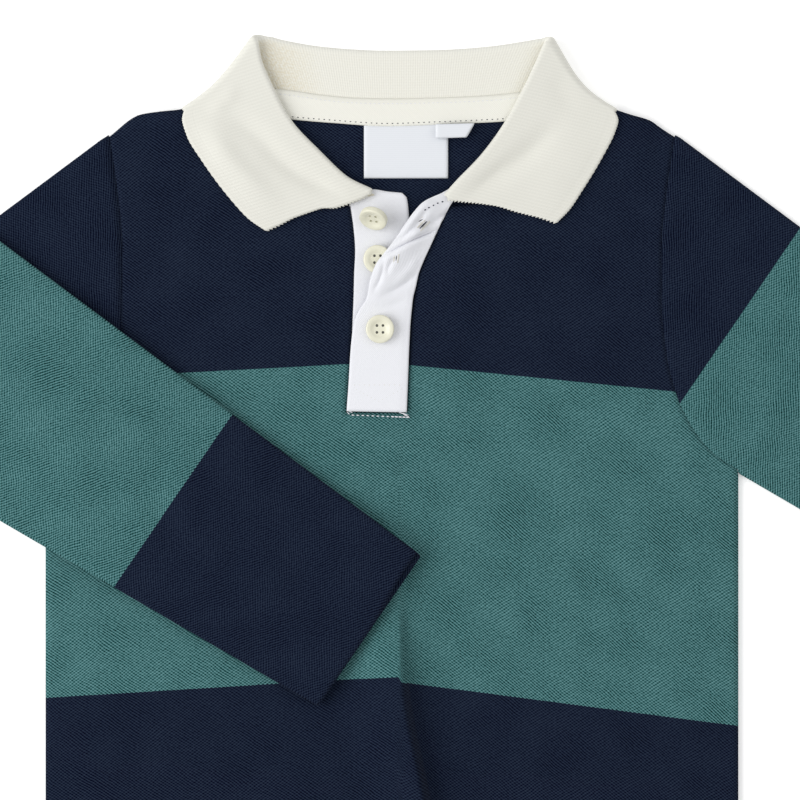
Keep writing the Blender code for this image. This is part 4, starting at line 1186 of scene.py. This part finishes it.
def build_sewing():
    """Stitch rows: neck tape, placket box and base, the placket's top seam, and the hem."""
    top = CLOTH / 2
    on_placket = PLACKET_ON_PLACKET_Z + PLACKET_WALL / 2
    along_tape = (TAPE_LEFT_X + 1, TAPE_RIGHT_X - 1, 60)

    def on_tape(x, y):
        return x, y, on_back(x, y, 0) + top

    def base(x):
        return x, 50.4 - 0.04 * (x + 16.2), front_z(x, 50.0) + top

    def cross(x):
        return x, 55.8 + 5.4 * abs((x + 5.4) / 10.0), on_placket

    sewing = bmesh.new()
    tape_low = sample(lambda x: on_tape(x, TAPE_LOWER.at(x) + 1.1), *along_tape)
    add_stitches(sewing, tape_low, TAPE_LOW_STITCH)
    for x, y in TOP_SEAM_STITCHES:
        spot = Vector((x, y, placket_height(x, y)))
        half = Vector((0.4, 0.2, 0.0))
        add_stitches(sewing, [spot - half, spot + half], TOP_SEAM_STITCH)
    finish_sewing(sewing, "navy_stitches", "navy_thread")
    sewing = bmesh.new()
    tape_high = sample(lambda x: on_tape(x, back_top_y(x) - 0.9), *along_tape)
    add_stitches(sewing, tape_high, TAPE_HIGH_STITCH)
    add_stitches(sewing, sample(base, -16.6, -0.6, 8), BASE_STITCH)
    add_stitches(sewing, sample(base, -0.4, 6.6, 5), BASE_END_STITCH)
    for loose_end in LOOSE_ENDS:
        tail = [Vector((x, y, front_z(x, y) + CLOTH + 0.5)) for x, y in loose_end]
        reach = (tail[1] - tail[0]).length
        add_stitches(sewing, tail, Stitch(reach, reach, 0.4, 0.0))
    finish_sewing(sewing, "white_stitches", "white_thread")
    sewing = bmesh.new()
    # The box and cross stitching show as grey lines of painted shade where the stitches sink into the
    # placket
    add_stitches(sewing, sample(lambda x: (x, 62.4, on_placket), -16.0, 4.0, 8), BOX_STITCH)
    add_stitches(sewing, sample(cross, -15.0, 4.2, 30), CROSS_STITCH)
    finish_sewing(sewing, "box_stitches", "cream_thread")
    sewing = bmesh.new()
    for offset in HEM_ROWS:
        y = -BODY_HALF_LENGTH + offset
        ends = (-HEM_ROW_END, HEM_ROW_END)
        front_row = sample(lambda x: (x, y, front_z(x, y) + hem_step(y) + top), *ends, 200)
        back_row = sample(lambda x: (x, y, back_z(x, y) - top), *ends, 60)
        add_stitches(sewing, front_row, HEM_STITCH)
        add_stitches(sewing, back_row, HEM_BACK_STITCH)
    finish_sewing(sewing, "hem_stitches", "navy_thread")


def build_buttonholes():
    slit_shades, thread = bmesh.new(), bmesh.new()
    for x, y, degrees, length, width in BUTTONHOLES:
        angle = math.radians(degrees)
        along = Vector((math.cos(angle), math.sin(angle), 0.0))
        across = Vector((-along.y, along.x, 0.0))
        ends = []
        for sign in (-0.5, 0.5):
            end = Vector((x, y, 0.0)) + along * length * sign
            end.z = placket_height(end.x, end.y)
            ends.append(end)
        # Each slit is a dark bead of painted shade lying in the buttonhole's opening
        add_stitches(slit_shades, ends, Stitch(length, length, width, -0.1))
        count = round(length / BUTTONHOLE_PITCH)
        for side in (-1.0, 1.0):
            for i in range(count + 1):
                spot = ends[0].lerp(ends[1], i / count) + across * side * (width / 2 + 0.6)
                bead = [spot - across * 0.3, spot + across * 0.3]
                add_stitches(thread, bead, BUTTONHOLE_STITCH)
    finish_sewing(slit_shades, "buttonhole_slits", "slit_shade")
    finish_sewing(thread, "buttonhole_stitches", "cream_thread")


# Button profile from the middle of the sunk face, over the rim, to the flat underside
BUTTON_PROFILE = [
    (0, 1.9), (1.6, 1.93), (2.5, 2.02), (3.1, 2.3), (3.6, 2.62), (4.1, 2.82), (4.9, 2.9),
    (5.35, 2.84), (5.58, 2.65), (5.66, 2.35), (5.66, 1.2), (5.6, 0.6), (5.4, 0.25), (5, 0.05),
    (4.5, 0), (0, 0),
]
HOLE_RADIUS = 0.55
HOLE_SPACING = (2.4, 2.75)
HOLE_PIN_LENGTH = 8.0
RIM_ANGLE = 50.0
# Button places: x, y, z of the underside's middle, and which way and how far the face leans
BUTTONS = [
    (-6.9, 129.9, 7, -112, 52), (-5.8, 112.6, 3.1, 0, 0), (-4.8, 84.8, 5, -90, 2.5),
]


def button_mesh(name, material):
    """Lathe the profile, cut the four thread holes and give back the finished mesh."""
    lathe = bmesh.new()
    points = [lathe.verts.new((x * MM, 0.0, z * MM)) for x, z in BUTTON_PROFILE]
    edges = [lathe.edges.new(pair) for pair in zip(points, points[1:])]
    around = {"cent": (0.0, 0.0, 0.0), "axis": (0.0, 0.0, 1.0), "angle": 2 * math.pi}
    bmesh.ops.spin(lathe, geom=points + edges, steps=64, use_merge=True, **around)
    bmesh.ops.remove_doubles(lathe, verts=lathe.verts, dist=0.001 * MM)
    bmesh.ops.recalc_face_normals(lathe, faces=lathe.faces)
    pins = bmesh.new()
    radius = HOLE_RADIUS * MM
    pin = {"radius1": radius, "radius2": radius, "depth": HOLE_PIN_LENGTH * MM}
    for side_x in (-0.5, 0.5):
        for side_y in (-0.5, 0.5):
            made = bmesh.ops.create_cone(pins, cap_ends=True, segments=20, **pin)
            move = Vector((side_x * HOLE_SPACING[0], side_y * HOLE_SPACING[1], 0.0)) * MM
            bmesh.ops.translate(pins, verts=made["verts"], vec=move)
    blank = add_object(name + "_blank", mesh_from(lathe, name, material))
    cutter = add_object(name + "_pins", mesh_from(pins, name + "_pins"))
    cut = blank.modifiers.new("holes", "BOOLEAN")
    cut.operation = "DIFFERENCE"
    cut.object = cutter
    bpy.context.view_layer.update()
    cut_blank = blank.evaluated_get(bpy.context.evaluated_depsgraph_get())
    finished = bpy.data.meshes.new_from_object(cut_blank)
    for part in (blank, cutter):
        bpy.data.objects.remove(part)
    return finished


def build_buttons():
    for number, (x, y, z, towards, lean) in enumerate(BUTTONS, start=1):
        name = f"button_{number}_resin"
        mesh = button_mesh(name, material_of("resin"))
        heading = math.radians(towards)
        axis = Vector((-math.sin(heading), math.cos(heading), 0.0))
        turn = Matrix.Rotation(math.radians(lean), 4, axis)
        mesh.transform(Matrix.Translation(Vector((x, y, z)) * MM) @ turn)
        mesh.shade_smooth()
        mesh.name = name
        piece = add_object(name, mesh)
        piece.modifiers.new("edges", "EDGE_SPLIT").split_angle = math.radians(RIM_ANGLE)
        join_to_frame(piece, f"button_{number}")


# Stage, with the lamps in metres and watts: name, place, size and power

FLOOR_HALF = 4.0
FLOOR_Z = -0.4
PHOTO_CENTRE = (3.2, 56.4)
CAMERA_HEIGHT = 2000.0
CAMERA_REACH = 50.0
FRAME_WIDTH = 320.0
SENSOR = 36.0
LAMPS = (
    ("key_light", (-1.55, 0.0, 1.2), 1.7, 30.0),
    ("fill_light", (1.3, 0.4, 1.7), 2.0, 8.0),
)
WHITE = (1.0, 1.0, 1.0, 1.0)
SKY_STRENGTH = 0.6


def build_stage():
    paper, _, _ = start_material(
        "white_paper_backdrop",
        {
            "Base Color": (0.9, 0.9, 0.9, 1.0),
            "Emission Color": WHITE,
            "Emission Strength": 0.3,
            "Roughness": 0.9,
        },
    )
    grid = bmesh.new()
    bmesh.ops.create_grid(grid, x_segments=1, y_segments=1, size=FLOOR_HALF)
    floor_mesh = mesh_from(grid, "floor", paper)
    floor_mesh.transform(Matrix.Translation((0.0, 0.0, FLOOR_Z * MM)))
    floor = add_object("floor", floor_mesh)

    camera_data = bpy.data.cameras.new("camera")
    camera_data.sensor_width = SENSOR
    camera_data.lens = SENSOR * CAMERA_HEIGHT / FRAME_WIDTH
    camera_data.clip_end = CAMERA_REACH
    camera = add_object("camera", camera_data)
    camera.location = Vector((*PHOTO_CENTRE, CAMERA_HEIGHT)) * MM
    bpy.context.scene.camera = camera

    for name, where, size, watts in LAMPS:
        lamp = bpy.data.lights.new(name, "AREA")
        lamp.shape = "SQUARE"
        lamp.size = size
        lamp.energy = watts
        light = add_object(name, lamp)
        light.location = where
        light.rotation_euler = (-Vector(where)).to_track_quat("-Z", "Y").to_euler()
    world = bpy.data.worlds.new("soft_studio")
    world.use_nodes = True
    sky = world.node_tree.nodes["Background"]
    sky.inputs["Color"].default_value = WHITE
    sky.inputs["Strength"].default_value = SKY_STRENGTH
    bpy.context.scene.world = world
    bpy.context.scene.view_settings.view_transform = "Standard"


# The add-on's own classes


def knit_step(name, description, millimetres):
    return FloatProperty(name=name, description=description, default=millimetres * MM, unit="LENGTH")


def dye(name, description, hex_colour):
    colour = linear(hex_colour)
    return FloatVectorProperty(name=name, description=description, subtype="COLOR", default=colour)


class PoloSizes(bpy.types.PropertyGroup):
    """Sizes of the knit and rib that a user would change."""

    pique_width: knit_step("Pique cell width", "Sideways step between rows of the pique's cells", 0.83)
    pique_height: knit_step("Pique cell height", "Upward step between rows of the pique's cells", 0.593)
    rib_pitch: knit_step("Rib pitch", "Distance between two wales of the rib collar", 0.88)


class PoloColours(bpy.types.PropertyGroup):
    """Colours of the shirt's cloth, trims and buttons."""

    # Navy and teal are the raised cells with a painted sheen highlight; their pit colours are painted
    # shade in the knit's pits
    navy: dye("Navy", "Raised cells of the navy yarn", "#212a3b")
    navy_pit_shade: dye("Navy pits", "Pits of the navy knit", "#091124")
    teal: dye("Teal", "Raised cells of the band", "#588284")
    teal_pit_shade: dye("Teal pits", "Pits of the band's knit", "#244f50")
    cream: dye("Cream", "Rib collar", "#eeede4")
    # The rib's inside colour is painted shade: the darker warm beige of the stand's ends under the
    # collar's folds
    inside: dye("Rib inside", "Inner face of the rib knit", "#d3c6a4")
    placket: dye("Placket", "Placket twill", "#e9eaef")
    tape: dye("Tape", "Neck tape", "#ecebe2")
    label: dye("Label", "Neck label and size tab", "#e0e3e8")
    resin: dye("Resin", "Buttons", "#e2e0cc")


class POLO_OT_back(bpy.types.Operator):
    """Builds the back panel in pique"""

    bl_idname = "polo.back"
    bl_label = "Back Panel"

    def execute(self, context):
        build_back()
        return {"FINISHED"}


class POLO_OT_front(bpy.types.Operator):
    """Builds the front panel in pique, with its placket slot, pleat and soft creases"""

    bl_idname = "polo.front"
    bl_label = "Front Panel"

    def execute(self, context):
        build_front()
        return {"FINISHED"}


class POLO_OT_sleeves(bpy.types.Operator):
    """Builds the straight right sleeve and the folded left one"""

    bl_idname = "polo.sleeves"
    bl_label = "Sleeves"

    def execute(self, context):
        build_sleeve_right()
        build_sleeve_left()
        return {"FINISHED"}


class POLO_OT_collar(bpy.types.Operator):
    """Builds the rib collar with its stand, fold and leaf"""

    bl_idname = "polo.collar"
    bl_label = "Rib Collar"

    def execute(self, context):
        build_collar()
        return {"FINISHED"}


class POLO_OT_plackets(bpy.types.Operator):
    """Builds the lower placket and the twisted upper one"""

    bl_idname = "polo.plackets"
    bl_label = "Plackets"

    def execute(self, context):
        build_lower_placket()
        build_upper_placket()
        return {"FINISHED"}


class POLO_OT_neck_trim(bpy.types.Operator):
    """Builds the neck tape, the bare label and the folded size tab"""

    bl_idname = "polo.neck_trim"
    bl_label = "Neck Trim"

    def execute(self, context):
        build_tape()
        build_label_and_tab()
        return {"FINISHED"}


class POLO_OT_sewing(bpy.types.Operator):
    """Builds the stitch rows and the buttonholes"""

    bl_idname = "polo.sewing"
    bl_label = "Sewing"

    def execute(self, context):
        build_sewing()
        build_buttonholes()
        return {"FINISHED"}


class POLO_OT_buttons(bpy.types.Operator):
    """Builds the three four-hole buttons"""

    bl_idname = "polo.buttons"
    bl_label = "Buttons"

    def execute(self, context):
        build_buttons()
        return {"FINISHED"}


class POLO_OT_stage(bpy.types.Operator):
    """Sets up the floor, the camera and the soft lights"""

    bl_idname = "polo.stage"
    bl_label = "Stage"

    def execute(self, context):
        build_stage()
        return {"FINISHED"}


OPERATORS = (
    POLO_OT_stage,
    POLO_OT_back,
    POLO_OT_front,
    POLO_OT_sleeves,
    POLO_OT_plackets,
    POLO_OT_collar,
    POLO_OT_neck_trim,
    POLO_OT_sewing,
    POLO_OT_buttons,
)


class POLO_PT_panel(bpy.types.Panel):
    """Sidebar panel with the shirt's sizes, colours and pieces"""

    bl_idname = "POLO_PT_panel"
    bl_label = "Polo Shirt"
    bl_space_type = "VIEW_3D"
    bl_region_type = "UI"
    bl_category = "Polo Shirt"

    def draw(self, context):
        for group in (context.scene.polo_sizes, context.scene.polo_colours):
            for name in type(group).__annotations__:
                self.layout.prop(group, name)
        for operator in OPERATORS:
            self.layout.operator(operator.bl_idname)


CLASSES = (PoloSizes, PoloColours, *OPERATORS, POLO_PT_panel)


def register():
    for item in CLASSES:
        bpy.utils.register_class(item)
    bpy.types.Scene.polo_sizes = PointerProperty(type=PoloSizes)
    bpy.types.Scene.polo_colours = PointerProperty(type=PoloColours)


def unregister():
    del bpy.types.Scene.polo_colours
    del bpy.types.Scene.polo_sizes
    for item in reversed(CLASSES):
        bpy.utils.unregister_class(item)


def main():
    register()
    for operator in OPERATORS:
        group, name = operator.bl_idname.split(".")
        getattr(getattr(bpy.ops, group), name)()


if __name__ == "__main__":
    main()
